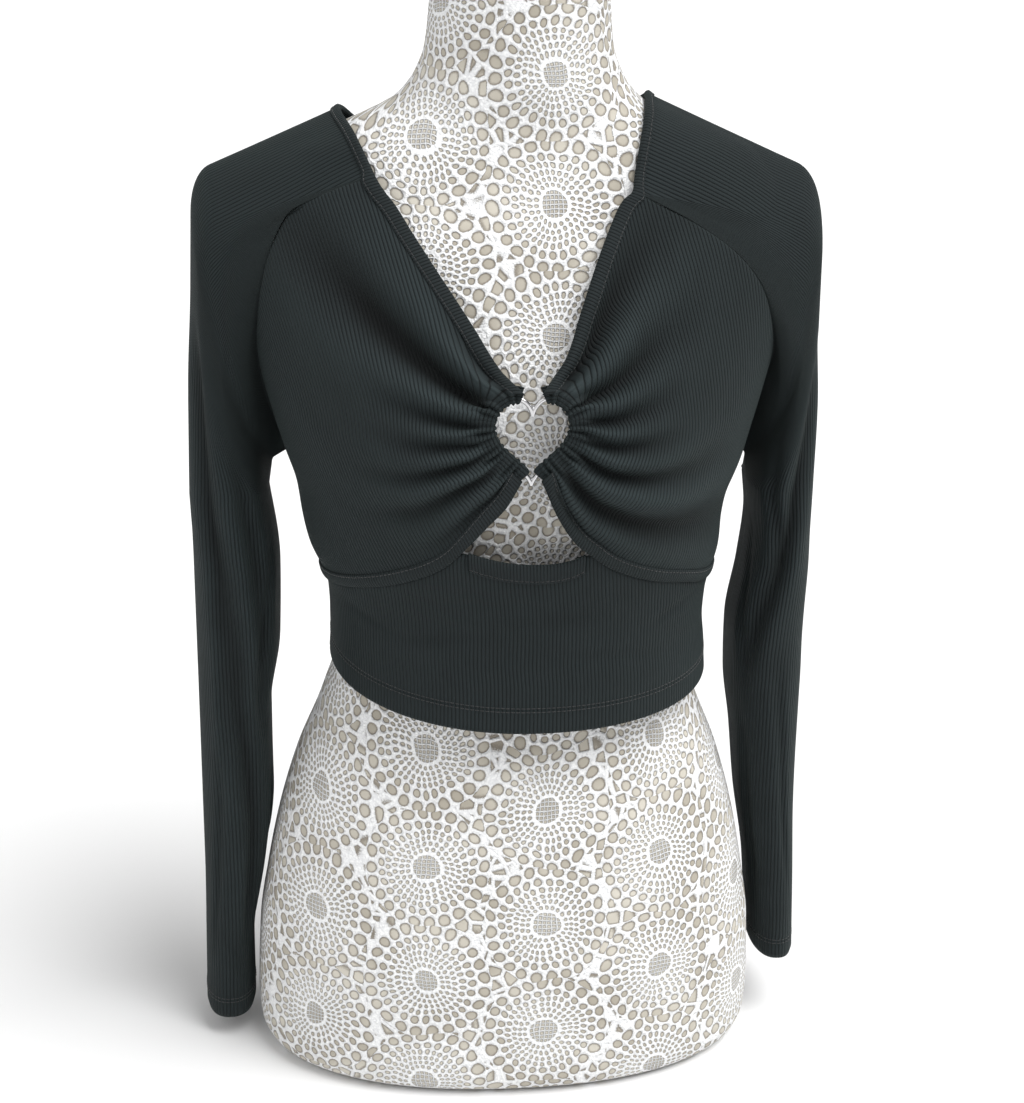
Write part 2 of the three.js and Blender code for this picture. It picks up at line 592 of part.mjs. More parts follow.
// A sleeve with its shoulder, read round it from the armpit over the front (u) and from its
// raglan seams and neckline (t 0) to the cuff (t 1). Its seams follow the panels' own edges.
function sleeveSurface(side, front, backLine, backArmpit, { wider, rows, folds }) {
  const { sign } = side;
  const frontAt = (q) => cloth.point(front.far(front.armpit * (1 - q)));
  const backAt = (q) => cloth.point(backLine(lerp(1, backArmpit, q)));
  const overShoulder = line([
    frontAt(1).toArray(), ...side.shoulder.map(([x, y, z]) => [sign * x, y, z]), backAt(0).toArray(),
  ]);
  const loopAt = (turn) => {
    const u = turn - Math.floor(turn);
    if (u < RAGLAN.front) return frontAt(u / RAGLAN.front);
    if (u > RAGLAN.back) return backAt((u - RAGLAN.back) / (1 - RAGLAN.back));
    return new THREE.Vector3(...overShoulder((u - RAGLAN.front) / (RAGLAN.back - RAGLAN.front)));
  };
  const around = [...SHOULDER_EDGE, { ...SHOULDER_EDGE[0], u: 1 }];
  const shoulder = ['out', 'y', 'z'].map((key) => column(around, 'u', key));
  const upright = [...rows].reverse();
  const read = Object.fromEntries(['inner', 'outer', 'y', 'deep'].map((key) => [key, column(upright, 'z', key)]));
  const cuff = upright[0].z;
  const section = (u, z) => {
    const [inner, outer] = [read.inner(z), read.outer(z)];
    const turn = 2 * Math.PI * u;
    const square = (v) => Math.sign(v) * Math.abs(v) ** 0.85;
    return new THREE.Vector3(
      sign * ((inner + outer) / 2 - ((outer - inner) / 2) * square(Math.cos(turn))),
      read.y(z) - read.deep(z) * square(Math.sin(turn)),
      z,
    );
  };
  const bare = (turn, t) => {
    const u = turn - Math.floor(turn);
    if (t >= YOKE) return section(u, lerp(SLEEVE_START, cuff, (t - YOKE) / (1 - YOKE)));
    const q = t / YOKE;
    const out = shoulder[0](u) + wider * smooth((shoulder[2](u) - SLEEVE_START) / 150);
    const [a, c, b] = [loopAt(u), new THREE.Vector3(sign * out, shoulder[1](u), shoulder[2](u)), section(u, SLEEVE_START)];
    const rise = smooth(q / 0.54);
    const fall = smooth((q - 0.42) / 0.58);
    return a.clone().addScaledVector(c.clone().sub(a), rise).addScaledVector(b.clone().sub(c), fall);
  };
  const fold = (u, z) => {
    let depth = 0;
    for (const f of folds) {
      const share = clamp01((f.from - z) / (f.from - f.to));
      const off = u - lerp(f.top, f.foot, share);
      const near = off - Math.round(off);
      const length = smooth((f.from - z) / 60) * smooth((z - f.to) / 60);
      depth += f.depth * length * (0.4 * bump(near / f.width / 2.2) - bump(near / f.width));
    }
    return depth;
  };
  const columns = [
    ...BUST_ROWS.map((t) => RAGLAN.front * (1 - t / front.armpit)).filter((u) => u > 0.005).reverse(),
    ...SHOULDER_STEPS,
    ...BACK_ROWS.map((t) => lerp(RAGLAN.back, 1, (1 - t) / (1 - backArmpit))).filter((u) => u < 0.995).reverse(),
  ];
  const surface = (u, t) => {
    const p = bare(u, t);
    const e = 0.004;
    const across = bare(u + e, t).sub(bare(u - e, t));
    const low = Math.min(t, 0.99);
    const down = bare(u, low + e).sub(bare(u, low - Math.min(e, low)));
    const out = across.cross(down).normalize().multiplyScalar(-sign);
    return clearOfForm(p.addScaledVector(out, fold(u - Math.floor(u), p.z)));
  };
  return Object.assign(surface, { columns: [0, ...columns] });
}

function sleeve(name, side, surface) {
  const places = [0, 0.03, ...steps(8, 0, YOKE).slice(1), ...steps(11, YOKE, 1).slice(1)];
  const rows = places.map((t) => surface.columns.map((u) => surface(u, t)));
  rows[0].forEach((p, j) => {
    const apart = surface(surface.columns[j], 0.07).sub(p).setLength(SEAM);
    p.add(apart);
    rows[1][j].add(apart);
  });
  const last = rows.length - 1;
  return wall(name, rows, {
    closed: true,
    flip: side.sign,
    inn: (i) => (i === last ? -HEM_WALL : -WALL),
    onTorso: (i) => i < 2,
  });
}

// A binding along the edge of one or more surfaces: each station reads how far in from the edge
function stations(surface, edge, width, places) {
  return places.map((place) => {
    const at = (depth) => surface(...edge(place, depth));
    const start = at(0);
    let share = 0.02;
    for (let i = 0; i < 8; i += 1) share *= width / Math.max(0.01, start.distanceTo(at(share)));
    return steps(2).map((k) => at(k * share));
  });
}

function binding(name, grid, flip) {
  return wall(name, grid, {
    out: () => LIFT + BINDING_WALL, inn: () => LIFT, flip, colour: COLOUR.edge,
  });
}

const bustRight = bustSurface(RIGHT);
const bustLeft = bustSurface(LEFT);
const band = bandSurface();
const back = backSurface();
const sleeveRight = sleeveSurface(RIGHT, bustRight, back.right, back.armpit, SLEEVE_RIGHT);
const sleeveLeft = sleeveSurface(LEFT, bustLeft, back.left, back.armpit, SLEEVE_LEFT);

const model = new THREE.Group();
model.add(dressForm());
model.add(heartRing());
model.add(bustPanel('bust_right', RIGHT, bustRight));
model.add(bustPanel('bust_left', LEFT, bustLeft));
const hemmed = (i) => (i === 0 ? -HEM_WALL : -WALL);
model.add(wall('band_front', BAND_ROWS.map((t) => BAND_STEPS.map((s) => band(s, t))), {
  onTorso: () => true, inn: hemmed,
}));
model.add(wall('back', BACK_ROWS.map((t) => BACK_STEPS.map((s) => back(s, t))), {
  onTorso: () => true, inn: hemmed,
}));
model.add(sleeve('sleeve_right', RIGHT, sleeveRight));
model.add(sleeve('sleeve_left', LEFT, sleeveLeft));
for (const [name, side, surface] of [['right', RIGHT, bustRight], ['left', LEFT, bustLeft]]) {
  const grid = stations(surface, (s, t) => [s, 1 - t], BUST_BINDING, BUST_STEPS);
  model.add(binding(`bust_binding_${name}`, grid, side.sign));
}
const keyhole = BAND_STEPS.filter((s) => {
  const { x } = band(s, 1);
  return x > KEYHOLE[0][0] - 3 && x < KEYHOLE[KEYHOLE.length - 1][0] + 3;
});
model.add(binding('keyhole_binding', stations(band, (s, t) => [s, 1 - t], KEYHOLE_BINDING, keyhole), -1));
model.add(binding('neck_binding', [
  ...stations(bustRight, (s, t) => [s, t], NECK_BINDING, BUST_STEPS.slice(1)),
  ...stations(sleeveRight, (u, t) => [u, t], NECK_BINDING, SHOULDER_STEPS),
  ...stations(back, (s, t) => [s, 1 - t], NECK_BINDING, BACK_STEPS),
  ...stations(sleeveLeft, (u, t) => [u, t], NECK_BINDING, [...SHOULDER_STEPS].reverse()),
  ...stations(bustLeft, (s, t) => [s, t], NECK_BINDING, BUST_STEPS.slice(1).reverse()),
], 1));

export default model;
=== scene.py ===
"""Long-sleeved crop top in rib knit with a heart ring at the bust, on a limbless dress form.

Tables and shapes are worked in millimetres and turned into metres where a mesh is made.
Left and right are the wearer's: the wearer's right side is at -X and the front faces -Y.
"""

import math

import bpy
import numpy as np
from mathutils import Matrix


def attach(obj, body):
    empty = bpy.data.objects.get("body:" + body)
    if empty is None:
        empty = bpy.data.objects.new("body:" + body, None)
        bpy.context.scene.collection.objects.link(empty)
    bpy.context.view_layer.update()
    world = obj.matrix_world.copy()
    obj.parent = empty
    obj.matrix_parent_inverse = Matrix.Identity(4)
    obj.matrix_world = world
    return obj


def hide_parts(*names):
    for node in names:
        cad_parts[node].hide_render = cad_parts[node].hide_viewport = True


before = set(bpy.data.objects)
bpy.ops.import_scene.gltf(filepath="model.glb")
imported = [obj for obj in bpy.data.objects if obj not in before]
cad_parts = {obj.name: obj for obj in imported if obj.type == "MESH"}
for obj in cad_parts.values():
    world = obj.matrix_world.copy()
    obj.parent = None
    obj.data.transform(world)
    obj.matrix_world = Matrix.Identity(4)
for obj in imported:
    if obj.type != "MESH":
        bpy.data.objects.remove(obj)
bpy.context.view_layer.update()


# The dress form: a light bust-to-hip body with a flat base and no limbs, covered in beige linen
# under a stretched cover of white crocheted medallions, with its seam down the back.
MM = 0.001

# Height, half width, depth to the front and back, squareness
FORM = np.array([
    (0, 163, 100, 96, 2.25), (6, 171, 107, 103, 2.25), (16, 175, 111, 107, 2.25), (32, 176, 112, 108, 2.25),
    (85, 174, 112, 108, 2.25), (125, 168, 109, 106, 2.25), (170, 159, 104, 99, 2.2), (215, 146, 97, 88, 2.15),
    (260, 128, 89, 78, 2.1), (300, 117, 85, 74, 2.1), (340, 117, 87, 76, 2.15), (380, 126, 93, 81, 2.2),
    (420, 134, 97, 87, 2.25), (460, 143, 98, 92, 2.3), (500, 153, 94, 93, 2.3), (540, 164, 85, 91, 2.2),
    (575, 176, 75, 85, 2.1), (592, 181, 67, 78, 2.0), (602, 177, 62, 73, 2.0), (614, 165, 58, 67, 2.0),
    (628, 146, 54, 62, 2.0), (639, 122, 52, 60, 2.0), (650, 97, 51, 58, 2.0), (660, 78, 52, 56, 2.0),
    (674, 66, 53, 52, 2.0), (692, 59, 53, 49, 2.0), (720, 56, 52, 47, 2.0), (740, 54, 51, 45, 2.0),
    (747, 46, 43, 37, 2.0),
])
FORM_BUST = {"lift": 24, "x": 76, "sx": 46, "z": 462, "sz": 48}
FORM_RINGS = 190
FORM_AROUND = 220

LACE_PITCH = (80.0, 80.0)      # medallions: across and up; every other column stands half a pitch higher
LACE_START = (17.0, 56.0)
LACE_RADIUS = 42.5
# Rings of holes in a medallion: radius, half height, count, share of the way round that is open
LACE_HOLES = [(12.4, 1.25, 20, 0.52), (16.4, 1.35, 26, 0.52), (20.6, 1.45, 32, 0.52), (25.2, 1.8, 34, 0.56),
              (30.6, 2.5, 28, 0.66), (38.2, 3.7, 24, 0.76)]


def clamp(value):
    return np.clip(value, 0, 1)


def smooth(value):
    return clamp(value) ** 2 * (3 - 2 * clamp(value))


def bump(value):
    return np.exp(-np.square(value))


def lerp(start, end, share):
    return start + (end - start) * share


def column(places, values):
    """A smooth reading of one column of a table against another, with no overshoot between rows."""
    x, y = np.asarray(places, float), np.asarray(values, float)
    gap = np.diff(x)
    rise = np.diff(y) / gap
    both = rise[:-1] * rise[1:]
    total = np.where(both > 0, rise[:-1] + rise[1:], 1)
    lean = np.concatenate([rise[:1], np.where(both > 0, 2 * both / total, 0), rise[-1:]])

    def read(at):
        at = np.clip(at, x[0], x[-1])
        i = np.clip(np.searchsorted(x, at, "right") - 1, 0, len(gap) - 1)
        t = (at - x[i]) / gap[i]
        end = t * t * (3 - 2 * t)
        turn = gap[i] * (lean[i] * t * (1 - t) ** 2 - lean[i + 1] * t * t * (1 - t))
        return y[i] * (1 - end) + y[i + 1] * end + turn
    return read


def run(points, axis=0):
    """Length along a row of points, from its first point."""
    steps = np.linalg.norm(np.diff(points, axis=axis), axis=-1)
    return np.concatenate([np.zeros_like(np.take(steps, [0], axis)), np.cumsum(steps, axis)], axis)


class Torso:
    """A body read at an angle from the front (a quarter turn at +X) and a height."""

    def __init__(self, rows, bust):
        z, *columns = rows.T
        self.w, self.f, self.b, self.n = (column(z, c) for c in columns[:4])
        self.shift = column(z, columns[4] if len(columns) > 4 else 0 * z)
        self.bust = bust
        angles = np.linspace(-math.pi, math.pi, 361)
        heights = np.linspace(z[0], z[-1], 120)
        girths = run(self.point(angles[:, None], heights[None, :]))
        self.girths = (angles, heights, girths - girths[180])

    def front(self, x, z):
        b = self.bust
        return self.f(z) + b["lift"] * bump((abs(x) - b["x"]) / b["sx"]) * bump((z - b["z"]) / b["sz"])

    def point(self, angle, z):
        n = self.n(z)
        s, c = np.sin(angle), np.cos(angle)
        k = (abs(s) ** n + abs(c) ** n) ** (-1 / n)
        x = self.w(z) * s * k
        deep = np.where(c > 0, self.front(x, z), self.b(z))
        return np.stack(np.broadcast_arrays(x + self.shift(z), -deep * c * k, z), -1)

    def angle(self, x, z, back=False):
        across = x - self.shift(z)
        share = np.minimum(0.9999, abs(across) / self.w(z))
        turn = np.arctan2(share, (1 - share ** self.n(z)) ** (1 / self.n(z)))
        return np.sign(across) * (math.pi - turn if back else turn)

    def value(self, p):
        x, y, z = p[..., 0] - self.shift(p[..., 2]), p[..., 1], p[..., 2]
        n = self.n(z)
        deep = np.where(y < 0, self.front(x, z), self.b(z))
        return (abs(x / self.w(z)) ** n + abs(y / deep) ** n) ** (1 / n)

    def outside(self, p):
        """How far outside the body a point is, with the way out."""
        away = [(self.value(p + e) - self.value(p - e)) for e in np.eye(3) * 0.5]
        way = np.stack(away, -1)
        steep = np.linalg.norm(way, axis=-1)
        return (self.value(p) - 1) / steep, way / steep[..., None]

    def girth(self, angle, z):
        """Length round the body from the middle of its front, at that height."""
        angles, heights, girths = self.girths
        a = (angle - angles[0]) / (angles[1] - angles[0])
        h = np.clip((z - heights[0]) / (heights[1] - heights[0]), 0, len(heights) - 1.001)
        i = np.clip(a.astype(int), 0, len(angles) - 2)
        k = h.astype(int)
        near = lerp(girths[i, k], girths[i + 1, k], a - i)
        return lerp(near, lerp(girths[i, k + 1], girths[i + 1, k + 1], a - i), h - k)


def grid_faces(rows, cols, close_rows=False, close_cols=False):
    """The four corners of each face of a grid, as [row, column], those that wrap past the end."""
    i, j = np.meshgrid(np.arange(rows - (not close_rows)), np.arange(cols - (not close_cols)), indexing="ij")
    corners = [(i, j), (i, j + 1), (i + 1, j + 1), (i + 1, j)]
    return np.stack([np.stack([a.ravel(), b.ravel()], -1) for a, b in corners], 1)


def piece(name, points, faces, places, marks, closing=(), fold_shade_depth=None):
    """A smooth mesh of points in millimetres: places names each face corner's row of marks, its
    place in the cloth's grain in millimetres. closing holds whole rows of points that end a tube,
    and the last argument is how far each point stands out of the cloth's general run, in millimetres,
    kept on the mesh only for the knit's painted shade in fold troughs and painted light on fold crests."""
    mesh = bpy.data.meshes.new(name)
    polygons = [*faces.tolist(), *closing]
    mesh.from_pydata((np.asarray(points) * MM).tolist(), [], polygons)
    layer = mesh.uv_layers.new(name="grain")
    ends = [marks[0]] * sum(len(ring) for ring in closing)
    corners = np.concatenate([marks[places.ravel()], *([np.array(ends)] if ends else [])])
    layer.data.foreach_set("uv", corners.astype(np.float32).ravel())
    mesh.polygons.foreach_set("use_smooth", [True] * len(polygons))
    if fold_shade_depth is not None:
        folds = mesh.attributes.new("fold_shade_depth", "FLOAT", "POINT")
        folds.data.foreach_set("value", fold_shade_depth.astype(np.float32))
    mesh.update()
    made = bpy.data.objects.new(name, mesh)
    bpy.context.scene.collection.objects.link(made)
    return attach(made, "root")


def tube(name, rings, marks, close_rows=False):
    """A closed mesh through closed rings of points, with flat ends or joined to itself."""
    rows, cols = rings.shape[:2]
    faces = grid_faces(rows, cols, close_rows, True)
    ids = (faces[..., 0] % rows) * cols + faces[..., 1] % cols
    places = faces[..., 0] * (cols + 1) + faces[..., 1]
    ends = [] if close_rows else [list(range(cols))[::-1], list(range((rows - 1) * cols, rows * cols))]
    return piece(name, rings.reshape(-1, 3), ids, places, marks.reshape(-1, 2), ends)


class Socket:
    """A node's output in a material: arithmetic on it adds Math nodes."""

    def __init__(self, finish, output):
        self.finish, self.output = finish, output

    def math(self, operation, *values):
        inputs = dict(zip(("Value", "Value_001", "Value_002"), values))
        return self.finish.node("ShaderNodeMath", {"operation": operation}, inputs)

    def __add__(self, other):
        return self.math("ADD", self, other)

    def __sub__(self, other):
        return self.math("SUBTRACT", self, other)

    def __mul__(self, other):
        return self.math("MULTIPLY", self, other)

    def __truediv__(self, other):
        return self.math("DIVIDE", self, other)

    def __pow__(self, other):
        return self.math("POWER", self, other)

    def __rsub__(self, other):
        return self.math("SUBTRACT", other, self)

    __radd__ = __add__
    __rmul__ = __mul__

    def __abs__(self):
        return self.math("ABSOLUTE", self)

    def floor(self):
        return self.math("FLOOR", self)

    def fraction(self):
        return self.math("FRACT", self)

    def cosine(self):
        return self.math("COSINE", self)

    def root(self):
        return self.math("SQRT", self)

    def over(self, level):
        return self.math("GREATER_THAN", self, level)

    def most(self, other):
        return self.math("MAXIMUM", self, other)

    def least(self, other):
        return self.math("MINIMUM", self, other)

    def between(self, low, high):
        """0 below low and 1 above high, smooth in between."""
        settings = {"interpolation_type": "SMOOTHSTEP"}
        return self.finish.node("ShaderNodeMapRange", settings, {"Value": self, "From Min": low, "From Max": high})


class Finish:
    """One procedural material, built from its shader outwards."""

    def __init__(self, name, **constants):
        self.material = bpy.data.materials.new(name)
        self.material.use_nodes = True
        self.nodes = self.material.node_tree.nodes
        self.shader = self.nodes["Principled BSDF"]
        for socket, value in constants.items():
            self.shader.inputs[socket.replace("_", " ")].default_value = value

    def node(self, kind, settings, inputs, output=None):
        """A node of that type: its settings first, then the values or links of its sockets."""
        made = self.nodes.new(kind)
        for key, value in settings.items():
            setattr(made, key, value)
        sockets = {s.identifier: s for s in made.inputs}
        for key, value in inputs.items():
            if isinstance(value, Socket):
                self.material.node_tree.links.new(value.output, sockets[key])
            else:
                sockets[key].default_value = value
        outputs = {s.identifier: s for s in made.outputs}
        return Socket(self, outputs[output] if output else made.outputs[0])

    def grain(self):
        """Place in the cloth's own grain, in millimetres across and along."""
        at = self.node("ShaderNodeUVMap", {"uv_map": "grain"}, {})
        parts = {k: self.node("ShaderNodeSeparateXYZ", {}, {"Vector": at}, k) for k in ("X", "Y")}
        return at, parts["X"], parts["Y"]

    def noise(self, vector, scale, detail=2.0):
        inputs = {"Vector": vector, "Scale": scale, "Detail": detail}
        return self.node("ShaderNodeTexNoise", {}, inputs, "Fac")

    def blend(self, share, start, end):
        """A colour between two others."""
        inputs = {"Factor_Float": share, "A_Color": start, "B_Color": end}
        return self.node("ShaderNodeMix", {"data_type": "RGBA"}, inputs, "Result_Color")

    def feed(self, **links):
        for name, value in links.items():
            self.material.node_tree.links.new(value.output, self.shader.inputs[name.replace("_", " ")])
        return self.material

    def relief(self, height, depth):
        """A normal from a height of 0 to 1 that is depth millimetres deep."""
        return self.node("ShaderNodeBump", {}, {"Height": height, "Distance": depth * MM, "Strength": 1.0})


def crochet():
    """White cotton crochet over beige linen: medallions with rings of holes, in an open mesh, with
    painted shadow of the cords on the linen round each hole and painted shade between the cord's knots.
    """
    finish = Finish("crochet_over_linen", Sheen_Weight=0.12, Sheen_Roughness=0.6)
    at, across, up = finish.grain()
    drift_x = finish.noise(at, 0.024) - 0.5
    drift_y = finish.noise(at, 0.031) - 0.5
    across = across + drift_x * 14 - LACE_START[0]
    up = up + drift_y * 12 - LACE_START[1]
    cell = (across / LACE_PITCH[0] + 0.5).floor()
    odd = (cell * 0.5).fraction().over(0.25)
    x = across - cell * LACE_PITCH[0]
    rise = up / LACE_PITCH[1] + odd * 0.5
    y = ((rise + 0.5).fraction() - 0.5) * LACE_PITCH[1]
    other_x = x - x.math("SIGN", x) * LACE_PITCH[0]
    other_y = y - y.math("SIGN", y) * (LACE_PITCH[1] / 2)
    far = (x * x + y * y).root()
    other_far = (other_x * other_x + other_y * other_y).root()
    nearer = far.over(other_far)
    x = x + (other_x - x) * nearer
    y = y + (other_y - y) * nearer
    far = far.least(other_far)
    turn = x.math("ARCTAN2", y, x) / (2 * math.pi)

    fibre = finish.noise(at, 0.9, 4.0)
    level = None
    for radius, half, count, open_share in LACE_HOLES:
        along = abs((turn * count + radius).fraction() - 0.5) * (2 / open_share)
        deep = abs(far - radius) / half
        hole = along * along + deep * deep
        level = hole if level is None else level.least(hole)
    net = abs((x / 2.9).fraction() - 0.5).most(abs((y / 2.9).fraction() - 0.5)) * 3.1
    level = level.least(net * net + far.between(8.2, 9.4) * 3)

    cells = {"Vector": at, "Scale": 0.098, "Randomness": 0.72}
    edge = finish.node("ShaderNodeTexVoronoi", {"feature": "DISTANCE_TO_EDGE"}, cells, "Distance")
    core = finish.node("ShaderNodeTexVoronoi", {"feature": "F1"}, cells, "Distance")
    mesh_level = 1.5 + core * 0.45 - edge * 5.6
    outer = (far + (fibre - 0.5) * 2).between(LACE_RADIUS - 0.6, LACE_RADIUS + 0.6)
    level = level * (1 - outer) + mesh_level * outer + (fibre - 0.5) * 0.55

    cord = level.between(0.7, 1.35)
    crown = level.between(0.8, 2.6)
    knots = finish.node("ShaderNodeTexVoronoi", {"feature": "SMOOTH_F1"},
                        {"Vector": at, "Scale": 0.62, "Smoothness": 0.5}, "Distance")
    cotton = cord * (0.34 + crown * 0.34 + (1 - knots) * 0.26 + fibre * 0.22)
    weave = (across * (2 * math.pi / 0.9)).cosine() * (up * (2 * math.pi / 0.9)).cosine()
    linen = (weave * 0.5 + 0.5) * 0.07 + finish.noise(at, 0.12, 2.0) * 0.12
    shade = finish.noise(at, 0.02, 1.0).between(0.3, 0.7)
    beige = finish.blend(shade, (0.40, 0.365, 0.30, 1), (0.62, 0.585, 0.51, 1))
    # Painted shadow: the linen darkens towards the edge of each hole, where the cords stand over it.
    beige = finish.blend(level.between(0.25, 0.9) * 0.75, beige, (0.17, 0.145, 0.115, 1))
    # The cotton greys between its raised knots, which is painted shade, and with its fibre, which is random tone.
    white = finish.blend(knots.between(0.15, 0.75) * 0.6 + fibre * 0.3, (0.95, 0.955, 0.95, 1), (0.72, 0.725, 0.74, 1))
    colour = finish.blend(level.between(0.85, 1.2), beige, white)
    return finish.feed(
        Base_Color=colour,
        Roughness=0.8 + fibre * 0.15,
        Normal=finish.relief(cotton + linen * (1 - cord), 2.0),
    )


body = Torso(FORM, FORM_BUST)
heights = np.interp(np.linspace(0, 1, FORM_RINGS), [0, 0.1, 0.9, 1], [0, 34, 690, 747])
around = np.linspace(-math.pi, math.pi, FORM_AROUND + 1)
rings = body.point(around[None, :], heights[:, None])
rise = run(rings[:, FORM_AROUND // 2])
marks = np.stack([body.girth(np.tile(around, (FORM_RINGS, 1)), heights[:, None] + 0 * around), rise[:, None] + 0 * around], -1)
cap_marks = marks[-1:] * [1, 1]
back_seam = 0.7 * bump((abs(around) - math.pi) * 90 / 2.0)
rings = rings + (body.outside(rings)[1] * [1, 1, 0]) * back_seam[None, :, None]
form = tube("dress_form_cover", rings[:, :-1], marks)
form.data.materials.append(crochet())
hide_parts("dress_form")


# The heart ring: one bent and brazed wire in polished nickel. The two bust panels are folded
# round its lobes, so it shows only in the notch and at the tip.
RING = {"wire": 1.5, "wide": 1.62, "tall": 2.0, "y": -115.2, "z": 473.6}
RING_COUNT = 240


def heart(turn):
    """The heart that the wire follows, from the notch (0) down one lobe to the tip (a half turn)."""
    x = 16 * np.sin(turn) ** 3
    z = 13 * np.cos(turn) - 3.8 * np.cos(2 * turn) - 2 * np.cos(3 * turn) - np.cos(4 * turn)
    return np.stack([RING["wide"] * x, RING["y"] + 0 * x, RING["z"] + RING["tall"] * z], -1)


def heart_out(turn):
    ahead = heart(turn + 0.02) - heart(turn - 0.02)
    ahead = ahead / np.linalg.norm(ahead, axis=-1, keepdims=True)
    return np.stack([-ahead[..., 2], 0 * turn, ahead[..., 0]], -1)


turns = 2 * math.pi * (np.arange(RING_COUNT) + 0.5) / RING_COUNT
rolls = np.linspace(0, 2 * math.pi, 20, endpoint=False)
wire = heart(turns)[:, None] + RING["wire"] * (
    heart_out(turns)[:, None] * np.cos(rolls)[:, None] + np.array([0, 1, 0]) * np.sin(rolls)[:, None])
steel = Finish("polished_nickel", Base_Color=(0.62, 0.62, 0.63, 1), Metallic=1.0)
scuffs = steel.noise(steel.grain()[0], 0.9, 4.0)
steel.feed(Roughness=0.10 + scuffs * 0.16, Normal=steel.relief(scuffs, 0.03))
ring_marks = np.stack(np.meshgrid(np.arange(RING_COUNT + 1) * 0.8, np.arange(21) * 0.45, indexing="ij"), -1)
ring = tube("heart_ring_wire", wire, ring_marks, close_rows=True)
ring.data.materials.append(steel.material)
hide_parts("heart_ring")


# The gathered bust panels: two pieces of the rib knit, each cut on its own side, gathered on to
# one lobe of the ring and folded round it, then sewn to the sleeves, the back and the band.
WALL = 1.4
SEAM = 0.5
FORM_GAP = 2.2
CASING = 3.6
TAIL = 7
GIRTH = 150                    # angles on the torso times this are about millimetres
ARMPIT = 432
CASING_ENDS = (0.72, 2.6)
RIB_PITCH = 2.5
EDGE_ROLL = 2.2                # reach of the soft edge at every seam

# Height, half width, depth to the front and back, squareness, shift to the left
CLOTH = np.array([
    (270, 129, 112, 87, 2.3, 5), (300, 127, 109, 84, 2.3, 5), (322, 126, 107, 83, 2.3, 4),
    (340, 127, 107, 84, 2.3, 4), (357, 131, 109, 86, 2.35, 3), (376, 137, 113, 89, 2.4, 1),
    (395, 140, 116, 92, 2.4, 0), (415, 143, 118, 95, 2.4, 0), (440, 151, 118, 98, 2.4, 0),
    (460, 157, 117, 100, 2.4, 0), (500, 168, 109, 101, 2.35, 0), (540, 177, 97, 99, 2.25, 0),
    (575, 187, 84, 93, 2.1, 0), (596, 191, 74, 85, 2.0, 0), (607, 191, 68, 79, 2.0, 0),
    (620, 178, 63, 72, 2.0, 0), (632, 157, 59, 67, 2.0, 0), (642, 133, 56, 64, 2.0, 0),
    (652, 108, 55, 62, 2.0, 0), (662, 85, 55, 60, 2.0, 0),
])
CLOTH_BUST = {"lift": 10, "x": 78, "sx": 52, "z": 458, "sz": 60}
cloth = Torso(CLOTH, CLOTH_BUST)

# Seams as [x, z] from the middle outwards or from the top down. Gathers: place on the ring and at
# the far seam (0 neckline, 1 under the bust), reach, depth, width. Lean: how the ribs tilt above.
RIGHT = {
    "sign": -1,
    "neck": [(12, 492), (20, 512), (37, 538), (54, 563), (71, 588), (84, 607), (93, 620)],
    "raglan": [(93, 620), (122, 609), (143, 598), (154, 580), (161, 557), (165, 533), (166, 507), (162, 480), (157, 456)],
    "under": [(7, 440), (16, 430), (28, 417), (40, 403), (52, 390), (68, 380), (92, 369), (116, 358)],
    "under_side": 348,
    "shoulder": [(104, -30, 641), (112, 0, 651), (110, 25, 650)],
    "lean": -0.32,
    "gathers": [
        (0.08, 0.04, 0.35, 1.8, 0.026), (0.24, 0.17, 0.95, 6.5, 0.042), (0.40, 0.33, 0.45, 3.4, 0.030),
        (0.52, 0.46, 0.36, 3.2, 0.030), (0.64, 0.60, 0.42, 3.2, 0.030), (0.76, 0.76, 0.42, 3.4, 0.030),
        (0.90, 0.92, 0.32, 2.2, 0.026),
    ],
}
LEFT = {
    "sign": 1,
    "neck": [(12, 490), (21, 517), (32, 546), (44, 577), (54, 598), (60, 607), (66, 611)],
    "raglan": [(66, 611), (82, 604), (98, 596), (127, 577), (150, 551), (161, 521), (164, 498), (161, 478), (157, 456)],
    "under": [(7, 438), (17, 423), (28, 406), (38, 397), (54, 385), (78, 374), (101, 366), (119, 358)],
    "under_side": 349,
    "shoulder": [(74, -32, 650), (80, -4, 662), (84, 25, 658)],
    "lean": 0.30,
    "gathers": [
        (0.07, 0.06, 0.95, 4.5, 0.030), (0.24, 0.22, 0.60, 4.4, 0.032), (0.38, 0.36, 0.44, 3.8, 0.030),
        (0.50, 0.50, 0.40, 3.6, 0.030), (0.63, 0.65, 0.52, 4.2, 0.032), (0.79, 0.86, 0.80, 4.8, 0.036),
        (0.93, 0.95, 0.30, 2.0, 0.024),
    ],
}


def clear_of_form(points):
    """Moves points out until they clear the form."""
    for _ in range(6):
        far, way = body.outside(points)
        points = points + way * (np.maximum(FORM_GAP + WALL - far, 0) * 0.8)[..., None]
    return points


